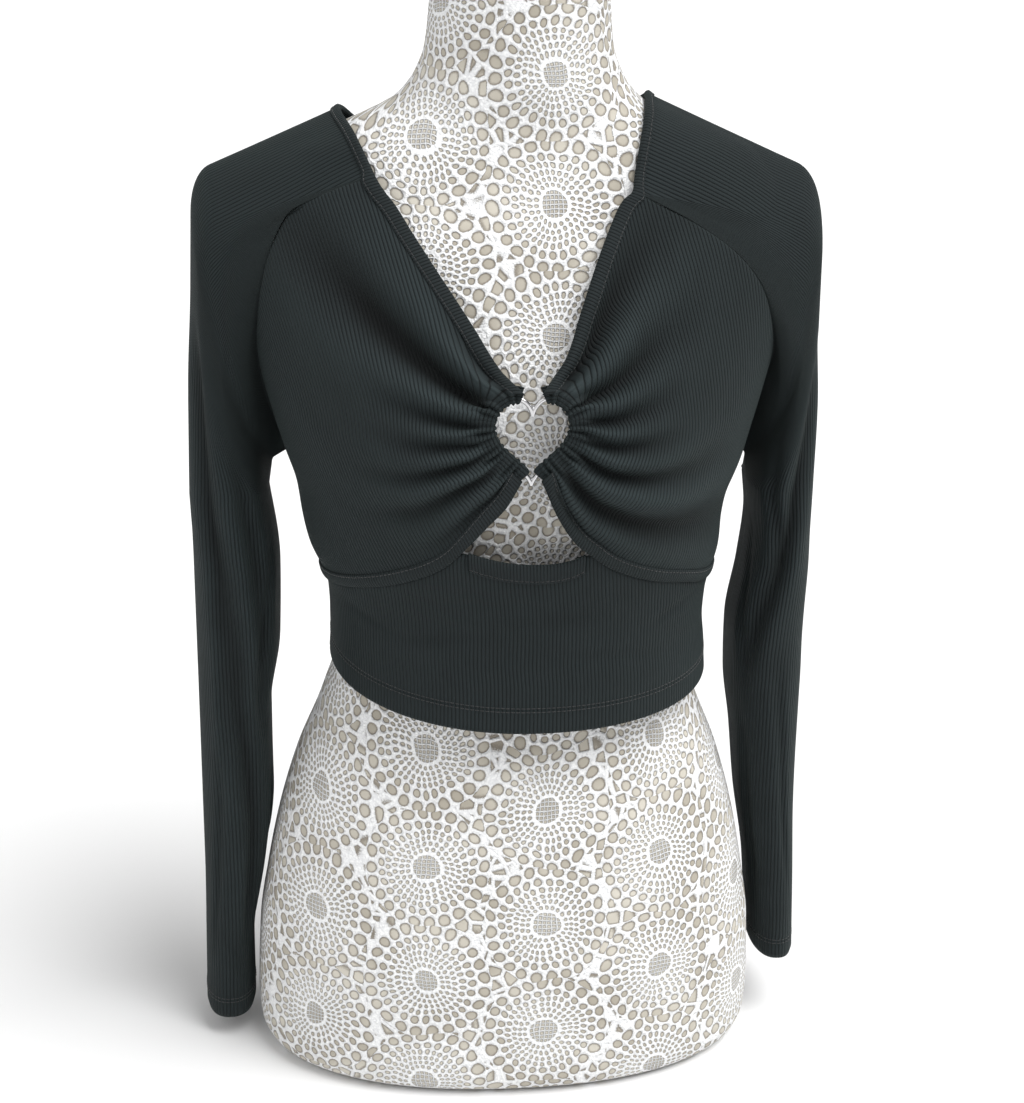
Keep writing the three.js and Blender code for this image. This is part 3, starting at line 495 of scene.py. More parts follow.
def line(points):
    """A smooth line through points, read from 0 to 1 by the length of its chords."""
    p = np.asarray(points, float)
    knots = run(p)
    shares = knots / knots[-1]
    order = np.arange(len(p))
    before, after = np.maximum(order - 1, 0), np.minimum(order + 1, len(p) - 1)
    lean = (p[after] - p[before]) / (knots[after] - knots[before])[:, None]

    def read(t):
        at = clamp(t) * knots[-1]
        i = np.clip(np.searchsorted(knots, at, "right") - 1, 0, len(p) - 2)
        h = (knots[i + 1] - knots[i])[..., None]
        q = (at - knots[i])[..., None] / h
        end = q * q * (3 - 2 * q)
        return p[i] * (1 - end) + p[i + 1] * end + h * (lean[i] * q * (1 - q) ** 2 - lean[i + 1] * q * q * (1 - q))
    read.shares = shares
    return read


def seam_line(points):
    """A line on the torso through [angle, height]."""
    at = line([(angle * GIRTH, z) for angle, z in points])

    def read(t):
        return at(t) / [GIRTH, 1]
    read.shares = at.shares
    return read


def patch(low, high, start, end):
    """A four-sided patch between its edges, each read as [angle, height]."""
    def read(s, t):
        s, t = np.broadcast_arrays(s, t)
        corners = [np.atleast_2d(e(np.array([q])))[0] for e, q in ((low, 0.0), (low, 1.0), (high, 0.0), (high, 1.0))]
        a, b, c, d = low(s), high(s), start(t), end(t)
        s, t = s[..., None], t[..., None]
        flat = lerp(lerp(corners[0], corners[1], s), lerp(corners[2], corners[3], s), t)
        return lerp(a, b, t) + lerp(c, d, s) - flat
    return read


def on_cloth(side, points, back=False):
    return [(float(cloth.angle(side * x, np.float64(z), back)), z) for x, z in points]


arc_turns = np.linspace(*CASING_ENDS, 200)
arc_run = run(heart(arc_turns))


def bust_surface(side):
    """One side of the front, from the ring (s 0) to the far seams, neckline (t 0) to under the bust."""
    sign = side["sign"]
    edge = sign * (math.pi / 2 - SEAM / cloth.w(ARMPIT))

    def ring_turn(t):
        return sign * np.interp(np.asarray(t) * arc_run[-1], arc_run, arc_turns)

    def ring_edge(t):
        turn = ring_turn(t)
        p = heart(turn) + heart_out(turn) * 4
        return np.stack([cloth.angle(p[..., 0], p[..., 2]), p[..., 2]], -1)
    neck = seam_line([ring_edge(0.0), *on_cloth(sign, side["neck"])[1:]])
    under = seam_line([ring_edge(1.0), *on_cloth(sign, side["under"])[1:], (edge, side["under_side"])])
    far = seam_line([*on_cloth(sign, side["raglan"]), (edge, ARMPIT),
                     (edge, lerp(ARMPIT, side["under_side"], 0.5)), (edge, side["under_side"])])
    flat = patch(neck, under, ring_edge, far)

    def gather(s, t):
        depth = 0 * s
        for at_ring, at_seam, reach, deep, width in side["gathers"]:
            middle = lerp(at_ring, at_seam, s ** 0.8)
            length = smooth(s / 0.05) * smooth((1.3 * reach - s) / reach)
            wide = width * (1 + 0.7 * s)
            crest = bump((t - middle + 1.9 * wide) / wide / 1.2) + 0.7 * bump((t - middle - 1.9 * wide) / wide / 1.2)
            depth = depth + deep * length * (0.8 * crest - 1.35 * bump((t - middle) / wide))
        return depth * smooth(t / 0.04) * smooth((1 - t) / 0.04)

    def surface(s, t):
        s, t = np.broadcast_arrays(np.asarray(s, float), np.asarray(t, float))
        at = flat(s, t)
        p = cloth.point(at[..., 0], at[..., 1])
        p = clear_of_form(p + cloth.outside(p)[1] * gather(s, t)[..., None])
        p[..., 1] = lerp(p[..., 1], RING["y"] - CASING, bump(s / 0.07))
        return p
    surface.turn, surface.far, surface.flat, surface.gather = ring_turn, far, flat, gather
    surface.armpit = far.shares[len(side["raglan"])]
    return surface


def normals(grid, flip, closed=False):
    """The unit normals of a grid of points."""
    along = np.gradient(grid, axis=0)
    if closed:
        across = np.roll(grid, -1, axis=1) - np.roll(grid, 1, axis=1)
    else:
        across = np.gradient(grid, axis=1)
    way = np.cross(along, across) * flip
    return way / np.maximum(np.linalg.norm(way, axis=-1, keepdims=True), 1e-9)


def shell(name, grid, way, marks, closed=False, wall=WALL, rolled=(True, True, True, True), fold_shade_depth=0):
    """A closed wall under a grid of points: wall is its thickness at each point. Its rolled edges,
    first and last row, first and last column, are thinned to a soft round."""
    rows, cols = grid.shape[:2]
    thick = np.broadcast_to(np.asarray(wall, float), (rows, cols))
    down = run(grid, 0)
    side = run(grid, 1)
    edges = [down, down[-1:] - down, side, side[:, -1:] - side]
    near = [e for e, wanted in zip(edges, rolled) if wanted]
    soft = np.zeros((rows, cols))
    for distance in near:
        soft = np.maximum(soft, clamp(1 - distance / EDGE_ROLL) ** 2)
    outer = grid - way * (0.42 * thick * soft)[..., None]
    inner = grid - way * (thick - 0.38 * thick * soft)[..., None]
    faces = grid_faces(rows, cols, False, closed)
    layer = np.zeros((*faces.shape[:2], 1), int)
    spans = np.arange(cols if closed else cols - 1)
    ranks = np.arange(rows - 1)
    parts = [np.concatenate([layer, faces], -1), np.concatenate([layer + 1, faces], -1)[:, ::-1]]

    def rim(corners):
        parts.append(np.stack([np.stack(np.broadcast_arrays(*c), -1) for c in corners], 1))
    rim([(0, 0, spans + 1), (0, 0, spans), (1, 0, spans), (1, 0, spans + 1)])
    rim([(0, rows - 1, spans), (0, rows - 1, spans + 1), (1, rows - 1, spans + 1), (1, rows - 1, spans)])
    if not closed:
        rim([(0, ranks, 0), (0, ranks + 1, 0), (1, ranks + 1, 0), (1, ranks, 0)])
        rim([(0, ranks + 1, cols - 1), (0, ranks, cols - 1), (1, ranks, cols - 1), (1, ranks + 1, cols - 1)])
    corners = np.concatenate(parts)
    ids = corners[..., 0] * rows * cols + corners[..., 1] * cols + corners[..., 2] % cols
    wide = marks.shape[1]
    places = corners[..., 1] * wide + corners[..., 2]
    points = np.concatenate([outer.reshape(-1, 3), inner.reshape(-1, 3)])
    a, b, c = (points[ids[:, k]] for k in (0, 1, 2))
    if np.einsum("ij,ij->i", a, np.cross(b, c)).sum() < 0:
        ids, places = ids[:, ::-1], places[:, ::-1]
    # The fold depth goes on both layers, for the knit's painted fold shade.
    folds = np.tile(np.broadcast_to(fold_shade_depth, (rows, cols)).ravel(), 2)
    return piece(name, points, ids, places, marks.reshape(-1, 2), fold_shade_depth=folds)


def knit(name, pitch, depth, light, dark):
    """Rib knit: rounded ribs with narrow grooves, fine loops along them and a soft nap, its colour
    with painted shade in the grooves and fold troughs and painted light on the fold crests.
    """
    finish = Finish(name, Sheen_Weight=0.05, Sheen_Roughness=0.4, Sheen_Tint=(0.5, 0.68, 0.64, 1),
                    Specular_IOR_Level=0.22)
    at, across, along = finish.grain()
    wander = finish.noise(at, 0.05, 2.0) - 0.5
    phase = (across / pitch + wander * 0.35).fraction()
    off = abs(phase - 0.5) * 2
    rib = 1 - off ** 3
    slant = abs(phase - 0.5) * 1.4
    loops = abs((along / 1.15 + slant).fraction() - 0.5) * 2
    nap = finish.noise(at, 1.7, 4.0)
    mottle = finish.noise(at, 0.035, 3.0)
    height = rib * 0.86 + loops * rib * 0.08 + nap * 0.10
    # Painted fold shade and light: darker in the troughs of folds and gathers and lighter on their crests, from the
    # fold depth stored on the mesh.
    folds = finish.node("ShaderNodeAttribute", {"attribute_name": "fold_shade_depth"}, {}, "Fac")
    painted_fold_shade = (0.60 + folds * 0.085).most(0.10).least(1.1)
    # The grooves between the ribs are darker, which is painted shade; the mottle and nap are the yarn's random tone.
    shade = (rib.between(0.05, 0.75) * 0.8 + mottle * 0.4 + (nap - 0.5) * 0.3 + loops * 0.06 - 0.05) * painted_fold_shade
    shade = shade.most(0.0).least(1.0)
    return finish.feed(
        Base_Color=finish.blend(shade, dark, light),
        Roughness=0.72 + nap * 0.2,
        Normal=finish.relief(height, depth),
    )


# The dark colour is the painted shade of the rib grooves and fold troughs.
RIB_KNIT = knit("rib_knit_black", RIB_PITCH, 1.0, (0.022, 0.031, 0.033, 1), (0.0006, 0.0008, 0.001, 1))
CASING_STEPS = 16
BUST_S = np.linspace(0, 1, 150) ** 1.25
BUST_T = np.linspace(0, 1, 230)


def crimps(t):
    """Small pleats where the cloth is bunched on the ring."""
    fine = 1.0 * abs(np.sin(t * math.pi * 19 + 0.4)) + 0.55 * np.sin(t * 2 * math.pi * 14 + 1.3) - 0.5
    return fine * smooth(t / 0.05) * smooth((1 - t) / 0.05)


def casing(surface, t):
    """The fold round the ring: behind it, round its inner side and out over its front, scrunched."""
    turn = surface.turn(t)
    centre, out = heart(turn), heart_out(turn)
    scrunch = crimps(t)
    rows = [centre + out * TAIL + [0, CASING, 0], centre + out * (0.5 * TAIL) + [0, CASING, 0]]
    for roll in np.linspace(1.5 * math.pi, 0.5 * math.pi, CASING_STEPS):
        radius = CASING + scrunch * (0.25 + 0.75 * float(smooth(1.5 - roll / math.pi)))
        rows.append(centre + out * (radius * math.cos(roll))[:, None] - np.outer(radius * math.sin(roll), [0, 1, 0]))
    return np.array(rows)


def bust_grain(side, surface, grid, folded):
    """Ribs that stand upright on the panel, lean with it, and cross the gathers near the ring."""
    at = surface.flat(BUST_S[:, None], BUST_T[None, :])
    girth = abs(cloth.girth(at[..., 0], at[..., 1]))
    rise = at[..., 1] - RING["z"]
    above = np.maximum(rise, 0)
    below = np.maximum(-rise, 0)
    far = girth + side["lean"] * above ** 2 / (above + 25) + 0.55 * below ** 2 / (below + 20)
    out = run(grid[folded:])
    near = 24 + out * (0.12 + 0.88 * smooth(BUST_T / 0.4)[None, :])
    across = lerp(near, far, smooth((out - 10) / 70))
    behind = across[:1] - (run(grid[:folded + 1])[-1:] - run(grid[:folded + 1])[:-1])
    along = run(grid, 1)
    return np.stack([np.concatenate([behind, across]), along], -1)


def bust_panel(name, node, side, surface):
    fold = casing(surface, BUST_T)
    grid = np.concatenate([fold, surface(BUST_S[:, None], BUST_T[None, :])])
    pleats = bump(run(grid[len(fold):]) / 14) * 1.5 * crimps(BUST_T)[None, :]
    way = normals(grid, -side["sign"])
    grid[len(fold):] += way[len(fold):] * pleats[..., None]
    # Fold depth for the knit's painted shade: the crimps on the casing, then the pleats and gathers on the panel.
    front = smooth(np.linspace(-0.4, 1, len(fold)))[:, None] * 1.5 * crimps(BUST_T)[None, :]
    fold_shade_depth = np.concatenate([front, pleats + surface.gather(BUST_S[:, None], BUST_T[None, :])])
    made = shell(name, grid, normals(grid, -side["sign"]), bust_grain(side, surface, grid, len(fold)),
                 rolled=(False, True, True, True), fold_shade_depth=fold_shade_depth)
    made.data.materials.append(RIB_KNIT)
    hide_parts(node)
    return made


bust_right = bust_surface(RIGHT)
bust_left = bust_surface(LEFT)
panels = {
    "right": bust_panel("bust_panel_right", "bust_right", RIGHT, bust_right),
    "left": bust_panel("bust_panel_left", "bust_left", LEFT, bust_left),
}


# The front band: one straight piece of the rib under the bust, with the ribs upright, a keyhole
# edge at the middle of its top and a hem turned up inside and held by a twin line of stitches.
HEM = {"front": 273, "right": 289, "left": 281, "back": 276}
HEM_DEPTH = 16
HEM_WALL = 2.4
KEYHOLE = [(-42, 399), (-28, 395), (-8, 390.5), (14, 390), (27, 392.5), (38, 396.5)]
BAND_S = np.linspace(0, 1, 200)
BAND_T = np.linspace(0, 1, 80)


def hem_height(angle):
    turn = abs(angle) / (math.pi / 2)
    side = np.where(angle < 0, HEM["right"], HEM["left"])
    return np.where(turn < 1, lerp(HEM["front"], side, smooth(turn)), lerp(side, HEM["back"], smooth(turn - 1)))


def band_surface():
    """The lower front, from side seam to side seam (s) and from the hem (t 0) up."""
    edge = math.pi / 2 - SEAM / cloth.w(HEM["left"])
    right = on_cloth(-1, [p for p in RIGHT["under"] if p[0] > 40])[::-1]
    left = on_cloth(1, [p for p in LEFT["under"] if p[0] > 38])
    keyhole = on_cloth(1, KEYHOLE)
    places = [(-edge, RIGHT["under_side"]), *right, *keyhole, *left, (edge, LEFT["under_side"])]
    top = seam_line([(angle, z - 2.4 * SEAM) for angle, z in places])

    def surface(s, t):
        s, t = np.broadcast_arrays(np.asarray(s, float), np.asarray(t, float))
        at = top(s)
        return cloth.point(at[..., 0], lerp(hem_height(at[..., 0]), at[..., 1], t))
    surface.angle = lambda s: top(s)[..., 0]
    return surface


def hemmed(grid, way):
    """The wall at a hem on the first row, twice as thick, and the groove that its stitches pull."""
    up = run(grid)
    groove = 0.35 * bump((up - HEM_DEPTH) / 1.3)
    return grid - way * groove[..., None], np.where(up < HEM_DEPTH, HEM_WALL, WALL)


# Soft wrinkles of the band and the back: place round and up (mm), half length and width, depth, tilt
BAND_CREASES = [(-60, 335, 34, 5, 0.8, 0.12), (52, 322, 40, 5, 0.7, -0.1), (100, 345, 22, 4, 0.9, 0.3),
                (-112, 340, 20, 4, 0.9, -0.25), (8, 350, 46, 6, 0.5, 0.03)]


def creases(grid, table, girth, depth_sign=1):
    depth = np.zeros(grid.shape[:2])
    for x, z, length, width, deep, tilt in table:
        a, b = girth - x, grid[..., 2] - z
        along, across = a + tilt * b, b - tilt * a
        depth += deep * bump(along / length) * (bump(across / width) - 0.4 * bump(across / width / 2.2))
    return -depth * depth_sign


band = band_surface()
band_grid = band(BAND_S[None, :], BAND_T[:, None])
band_way = cloth.outside(band_grid)[1]
band_girth = cloth.girth(np.broadcast_to(band.angle(BAND_S), band_grid.shape[:2]), band_grid[..., 2])
band_folds = creases(band_grid, BAND_CREASES, band_girth)
band_grid = band_grid + band_way * band_folds[..., None]
band_grid, band_wall = hemmed(band_grid, band_way)
band_marks = np.stack([band_girth, band_grid[..., 2]], -1)
# The creases, half as deep again, set the knit's painted fold shade.
band_piece = shell("front_band", band_grid, band_way, band_marks, wall=band_wall, fold_shade_depth=1.5 * band_folds)
band_piece.data.materials.append(RIB_KNIT)
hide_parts("band_front")


# The back: one plain piece of the rib from the hem to the neck, between the two back raglan seams,
# with the ribs upright and the same hem as the band.
BACK_NECK = 634
BACK_RAGLAN = {
    -1: [(99, 638), (121, 620), (138, 596), (150, 565), (157, 530), (160, 495), (158, 462)],
    1: [(75, 646), (106, 625), (132, 596), (147, 565), (156, 530), (160, 495), (158, 462)],
}
BACK_CREASES = [(-40, 322, 70, 7, 2.4, 0.10), (55, 338, 60, 6, 2.1, -0.14), (10, 362, 80, 8, 2.4, 0.04),
                (-95, 392, 40, 7, 2.4, -0.35), (100, 404, 42, 7, 2.3, 0.38), (-120, 440, 30, 6, 2.4, -0.7),
                (122, 448, 30, 6, 2.4, 0.7), (-20, 590, 60, 9, 1.4, 0.2)]
BACK_S = np.linspace(0, 1, 170)
BACK_T = np.linspace(0, 1, 160)


def back_surface():
    """The back, from the right side seam to the left one (s) and from the hem (t 0) to the neck."""
    edge = math.pi / 2 + SEAM / cloth.w(ARMPIT)

    def side(sign):
        low = [(sign * edge, HEM["right"] if sign < 0 else HEM["left"]), (sign * edge, 330), (sign * edge, 385),
               (sign * edge, ARMPIT)]
        points = [*low, *on_cloth(sign, BACK_RAGLAN[sign], True)[::-1]]
        return seam_line([(a + 2 * math.pi if a < 0 else a, z) for a, z in points])
    right, left = side(-1), side(1)

    def hem(s):
        angle = lerp(2 * math.pi - edge, edge, s)
        return np.stack([angle, hem_height(np.where(angle > math.pi, angle - 2 * math.pi, angle))], -1)
    ends = [tuple(e(np.array(1.0))) for e in (right, left)]
    neck = seam_line([ends[0], (lerp(ends[0][0], math.pi, 0.5), BACK_NECK + 2), (math.pi, BACK_NECK),
                      (lerp(ends[1][0], math.pi, 0.5), BACK_NECK + 2), ends[1]])
    flat = patch(hem, neck, right, left)

    def surface(s, t):
        at = flat(np.asarray(s, float), np.asarray(t, float))
        return cloth.point(at[..., 0], at[..., 1])
    surface.flat, surface.right, surface.left, surface.armpit = flat, right, left, right.shares[3]
    return surface


back = back_surface()
back_grid = back(BACK_S[None, :], BACK_T[:, None])
back_way = cloth.outside(back_grid)[1]
back_at = back.flat(BACK_S[None, :], BACK_T[:, None])
half = cloth.girth(np.full_like(back_at[..., 1], math.pi), back_at[..., 1])
turned = np.where(back_at[..., 0] > math.pi, back_at[..., 0] - 2 * math.pi, back_at[..., 0])
back_girth = cloth.girth(turned, back_at[..., 1]) - np.where(back_at[..., 0] > math.pi, -half, half)
back_folds = creases(back_grid, BACK_CREASES, back_girth)
back_grid = back_grid + back_way * back_folds[..., None]
back_grid, back_wall = hemmed(back_grid, back_way)
back_marks = np.stack([back_girth, back_grid[..., 2]], -1)
# The creases, half as deep again, set the knit's painted fold shade.
back_piece = shell("back_panel", back_grid, back_way, back_marks, wall=back_wall, fold_shade_depth=1.5 * back_folds)
back_piece.data.materials.append(RIB_KNIT)
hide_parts("back")


# The sleeves: one long piece each, cut with the shoulder in one so that it runs up to the
# neckline, sewn into a tube along the arm's inner side, with a hem of twin stitches at the cuff.
# Shoulder's edge, where each sleeve turns down: place round the sleeve, way out, y, z
SHOULDER_EDGE = np.array([
    (0.00, 158, 6, 424), (0.10, 170, -24, 448), (0.22, 187, -40, 505), (0.34, 197, -34, 572),
    (0.50, 201, 4, 612), (0.66, 197, 42, 572), (0.78, 187, 50, 505), (0.90, 170, 34, 448), (1.00, 158, 6, 424),
])
RAGLAN_FRONT, RAGLAN_BACK = 0.37, 0.59
SLEEVE_START = 405
YOKE = 0.42
CUFF_HEM = 14
# Rows: height, inner and outer edge from the middle, y of the centre, half depth.
# Folds: place round at the top and foot, heights, depth, width.
SLEEVES = {
    "right": {
        "wider": 4,
        "rows": [(17, 179, 214, 10, 34), (70, 179, 213, 10, 34), (130, 170, 212, 10, 35), (190, 163, 212, 10, 37),
                 (250, 163, 212, 10, 39), (300, 156, 212, 9, 41), (350, 155, 212, 8, 42), (405, 161, 213, 8, 43)],
        "folds": [(0.40, 0.12, 540, 60, 5.5, 0.042), (0.22, 0.12, 450, 215, 4.5, 0.036),
                  (0.64, 0.72, 500, 110, 4.5, 0.045), (0.88, 0.82, 430, 80, 4.0, 0.045),
                  (0.33, 0.27, 420, 190, 1.8, 0.020), (0.08, 0.20, 400, 250, 2.0, 0.020),
                  (0.30, 0.34, 250, 50, 1.6, 0.022), (0.05, 0.04, 230, 60, 2.0, 0.022),
                  (0.52, 0.46, 520, 330, 1.2, 0.026), (0.76, 0.68, 330, 60, 1.8, 0.026)],
    },
    "left": {
        "wider": -5,
        "rows": [(49, 181, 212, 11, 36), (110, 176, 209, 11, 37), (170, 167, 206, 11, 38), (220, 161, 205, 10, 39),
                 (262, 155, 205, 10, 40), (300, 154, 204, 9, 41), (345, 160, 204, 8, 42), (380, 163, 203, 8, 43),
                 (405, 160, 203, 8, 43)],
        "folds": [(0.40, 0.10, 520, 250, 5.5, 0.045), (0.15, 0.22, 455, 330, 4.0, 0.034),
                  (0.66, 0.74, 500, 130, 4.5, 0.045), (0.90, 0.84, 430, 110, 4.0, 0.045),
                  (0.10, 0.09, 260, 70, 2.5, 0.030), (0.30, 0.20, 470, 300, 2.0, 0.020),
                  (0.26, 0.31, 300, 90, 1.8, 0.022), (0.04, 0.14, 390, 250, 2.0, 0.020),
                  (0.50, 0.44, 500, 300, 1.2, 0.026), (0.78, 0.70, 320, 80, 1.8, 0.026)],
    },
}
SLEEVE_AROUND = 170
SLEEVE_DOWN = 200


def sleeve_surface(side, front, back_line, plan):
    """A sleeve with its shoulder, round from the armpit over the front (u), from its seams (t 0) down."""
    sign = side["sign"]

    def front_at(q):
        at = front.far(front.armpit * (1 - q))
        return cloth.point(at[..., 0], at[..., 1])

    def back_at(q):
        at = back_line(lerp(1, back.armpit, q))
        return cloth.point(at[..., 0], at[..., 1])
    over = line([front_at(np.array(1.0)), *[(sign * x, y, z) for x, y, z in side["shoulder"]], back_at(np.array(0.0))])

    def loop(u):
        on_front = front_at(clamp(u / RAGLAN_FRONT))
        on_back = back_at(clamp((u - RAGLAN_BACK) / (1 - RAGLAN_BACK)))
        on_top = over(clamp((u - RAGLAN_FRONT) / (RAGLAN_BACK - RAGLAN_FRONT)))
        return np.where((u < RAGLAN_FRONT)[..., None], on_front, np.where((u > RAGLAN_BACK)[..., None], on_back, on_top))
    u_row, *edge_columns = SHOULDER_EDGE.T
    shoulder = [column(u_row, c) for c in edge_columns]
    z_row, *columns = np.array(plan["rows"], float).T
    inner, outer, middle, deep = (column(z_row, c) for c in columns)
    cuff = z_row[0]

    def section(u, z):
        turn = 2 * math.pi * u
        round_x = np.sign(np.cos(turn)) * abs(np.cos(turn)) ** 0.85
        round_y = np.sign(np.sin(turn)) * abs(np.sin(turn)) ** 0.85
        x = (inner(z) + outer(z)) / 2 - (outer(z) - inner(z)) / 2 * round_x
        return np.stack(np.broadcast_arrays(sign * x, middle(z) - deep(z) * round_y, z), -1)

    def bare(u, t):
        u, t = np.broadcast_arrays(np.mod(u, 1.0), t)
        hanging = section(u, lerp(SLEEVE_START, cuff, clamp((t - YOKE) / (1 - YOKE))))
        q = t / YOKE
        out = shoulder[0](u) + plan["wider"] * smooth((shoulder[2](u) - SLEEVE_START) / 150)
        a, b = loop(u), section(u, SLEEVE_START + 0 * u)
        c = np.stack([sign * out, shoulder[1](u), shoulder[2](u)], -1)
        yoke = a + (c - a) * smooth(q / 0.54)[..., None] + (b - c) * smooth((q - 0.42) / 0.58)[..., None]
        return np.where((t >= YOKE)[..., None], hanging, yoke)

    def fold(u, z):
        depth = 0 * z
        for top, foot, start, end, deep_, width in plan["folds"]:
            off = u - lerp(top, foot, clamp((start - z) / (start - end)))
            near = off - np.round(off)
            length = smooth((start - z) / 60) * smooth((z - end) / 60)
            depth = depth + 1.25 * deep_ * length * (0.5 * bump(near / width / 2.2) - bump(near / width))
        return depth

    def surface(u, t):
        u, t = np.broadcast_arrays(np.asarray(u, float), np.asarray(t, float))
        p = bare(u, t)
        e = 0.004
        across = bare(u + e, t) - bare(u - e, t)
        low = np.minimum(t, 0.99)
        down = bare(u, low + e) - bare(u, low - np.minimum(e, low))
        out = np.cross(across, down)
        out = out / np.linalg.norm(out, axis=-1, keepdims=True) * -sign
        return clear_of_form(p + out * fold(np.mod(u, 1.0), p[..., 2])[..., None])
    surface.fold = fold
    return surface


def sleeve(name, node, side, surface):
    u = np.linspace(0, 1, SLEEVE_AROUND, endpoint=False)
    t = np.concatenate([np.linspace(0, YOKE, SLEEVE_DOWN // 2, endpoint=False), np.linspace(YOKE, 1, SLEEVE_DOWN // 2)])
    grid = surface(u[None, :], t[:, None])
    apart = surface(u, np.full_like(u, 0.02)) - grid[0]
    apart = apart / np.linalg.norm(apart, axis=-1, keepdims=True) * SEAM
    grid = grid + apart[None] * smooth(1 - run(grid) / 8)[..., None]
    way = normals(grid, side["sign"], True)
    on_torso = smooth(1 - run(grid) / 10)[..., None]
    way = way * (1 - on_torso) + cloth.outside(grid)[1] * on_torso
    way = way / np.linalg.norm(way, axis=-1, keepdims=True)
    up = run(grid)[-1:] - run(grid)
    grid = grid - way * (0.35 * bump((up - CUFF_HEM) / 1.3))[..., None]
    ring = np.concatenate([grid, grid[:, :1]], 1)
    round_run = run(ring, 1)
    outer_line = round_run[:, SLEEVE_AROUND // 2:SLEEVE_AROUND // 2 + 1]
    marks = np.stack([round_run - outer_line, np.broadcast_to(run(ring).mean(1, keepdims=True), round_run.shape)], -1)
    # The sleeve's folds set the knit's painted fold shade.
    made = shell(name, grid, way, marks, closed=True, wall=np.where(up < CUFF_HEM, HEM_WALL, WALL),
                 rolled=(True, True, False, False), fold_shade_depth=surface.fold(u[None, :], grid[..., 2]))
    made.data.materials.append(RIB_KNIT)
    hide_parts(node)
    return grid, way


sleeve_right = sleeve_surface(RIGHT, bust_right, back.right, SLEEVES["right"])
sleeve_left = sleeve_surface(LEFT, bust_left, back.left, SLEEVES["left"])
sleeve_grids = {
    "right": sleeve("sleeve_tube_right", "sleeve_right", RIGHT, sleeve_right),
    "left": sleeve("sleeve_tube_left", "sleeve_left", LEFT, sleeve_left),
}


# The bindings: strips of the same knit with the ribs across, folded over the raw edges of the
# neckline, the seams under the bust and the keyhole, and held by one line of stitches.
NECK_BINDING, BUST_BINDING, KEYHOLE_BINDING = 8, 9, 12
BINDING_RIB = 2.1
# Section of a folded binding: depth in from the edge as a share of its width, height over the cloth
STRIP_OUTSIDE = [(1.0, 0.25), (0.985, 0.8), (0.93, 1.25), (0.86, 1.3), (0.83, 1.1), (0.80, 1.3), (0.68, 1.7),
                 (0.45, 1.95), (0.22, 1.9), (0.07, 1.65)]
# The rest of it, round the raw edge and behind: millimetres in from the edge, height over the cloth
STRIP_FOLD = [(-0.5, 1.2), (-1.1, 0.5), (-1.25, -0.4), (-1.0, -1.3), (-0.3, -2.0), (0.8, -2.3), (3.2, -2.35),
              (4.6, -2.3), (4.7, -1.9), (3.2, -1.75), (0.9, -1.7), (0.0, -1.5), (-0.4, -0.8), (-0.4, 0.0), (0.0, 0.28),
              (1.2, 0.22)]
# The binding's dark colour is the painted shade of its rib grooves.
EDGE_KNIT = knit("rib_knit_binding", BINDING_RIB, 0.8, (0.022, 0.030, 0.032, 1), (0.0006, 0.0008, 0.001, 1))


def edge_strip(surface, edge, width, places):
    """Points in from an edge at each place, seven of them over the binding's width."""
    share = np.full(len(places), 0.02)
    start = surface(*edge(places, 0 * share))
    for _ in range(8):
        reach = np.linalg.norm(surface(*edge(places, share)) - start, axis=-1)
        share = np.clip(share * width / np.maximum(reach, 0.01), 0, 0.9)
    return np.stack([surface(*edge(places, share * k / 6)) for k in range(7)], 1)


def strip_at(strip, way, depth, height, width):
    """A point of the binding, depth in from the edge and height over the cloth."""
    spot = np.clip(depth / width, 0, 1) * 6
    k = min(int(spot), 5)
    on = lerp(strip[:, k], strip[:, k + 1], spot - k)
    inward = strip[:, 1] - strip[:, 0]
    inward = inward / np.linalg.norm(inward, axis=-1, keepdims=True)
    return on + inward * min(depth, 0) + lerp(way[:, k], way[:, k + 1], spot - k) * height


def binding(name, node, strip, flip, width):
    way = normals(strip, flip)
    section = [(share * width, height) for share, height in STRIP_OUTSIDE] + STRIP_FOLD
    rings = np.stack([strip_at(strip, way, d, h, width) for d, h in section], 1)
    along = run(strip[:, 3])
    around = np.concatenate([run(rings[len(rings) // 2]), [0]])
    marks = np.stack(np.meshgrid(along, around, indexing="ij"), -1)
    made = tube(name, rings, marks)
    made.data.materials.append(EDGE_KNIT)
    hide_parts(node)
    return way


strips = {}
for word, side, surface in (("right", RIGHT, bust_right), ("left", LEFT, bust_left)):
    strip = edge_strip(surface, lambda s, t: (s, 1 - t), BUST_BINDING, np.linspace(0, 1, 150) ** 1.15)
    way = binding(f"under_bust_binding_{word}", f"bust_binding_{word}", strip, side["sign"], BUST_BINDING)
    strips[f"under_bust_{word}"] = (strip, way, BUST_BINDING)
shown = BAND_S[(band_grid[-1, :, 0] > KEYHOLE[0][0] + 2) & (band_grid[-1, :, 0] < KEYHOLE[-1][0] - 2)]
strip = edge_strip(band, lambda s, t: (s, 1 - t), KEYHOLE_BINDING, np.linspace(shown[0], shown[-1], 70))
strips["keyhole"] = (strip, binding("keyhole_binding_strip", "keyhole_binding", strip, -1, KEYHOLE_BINDING),
                     KEYHOLE_BINDING)
shoulder_u = np.linspace(RAGLAN_FRONT + 0.004, RAGLAN_BACK - 0.004, 56)
front_s = np.linspace(0, 1, 130) ** 1.15
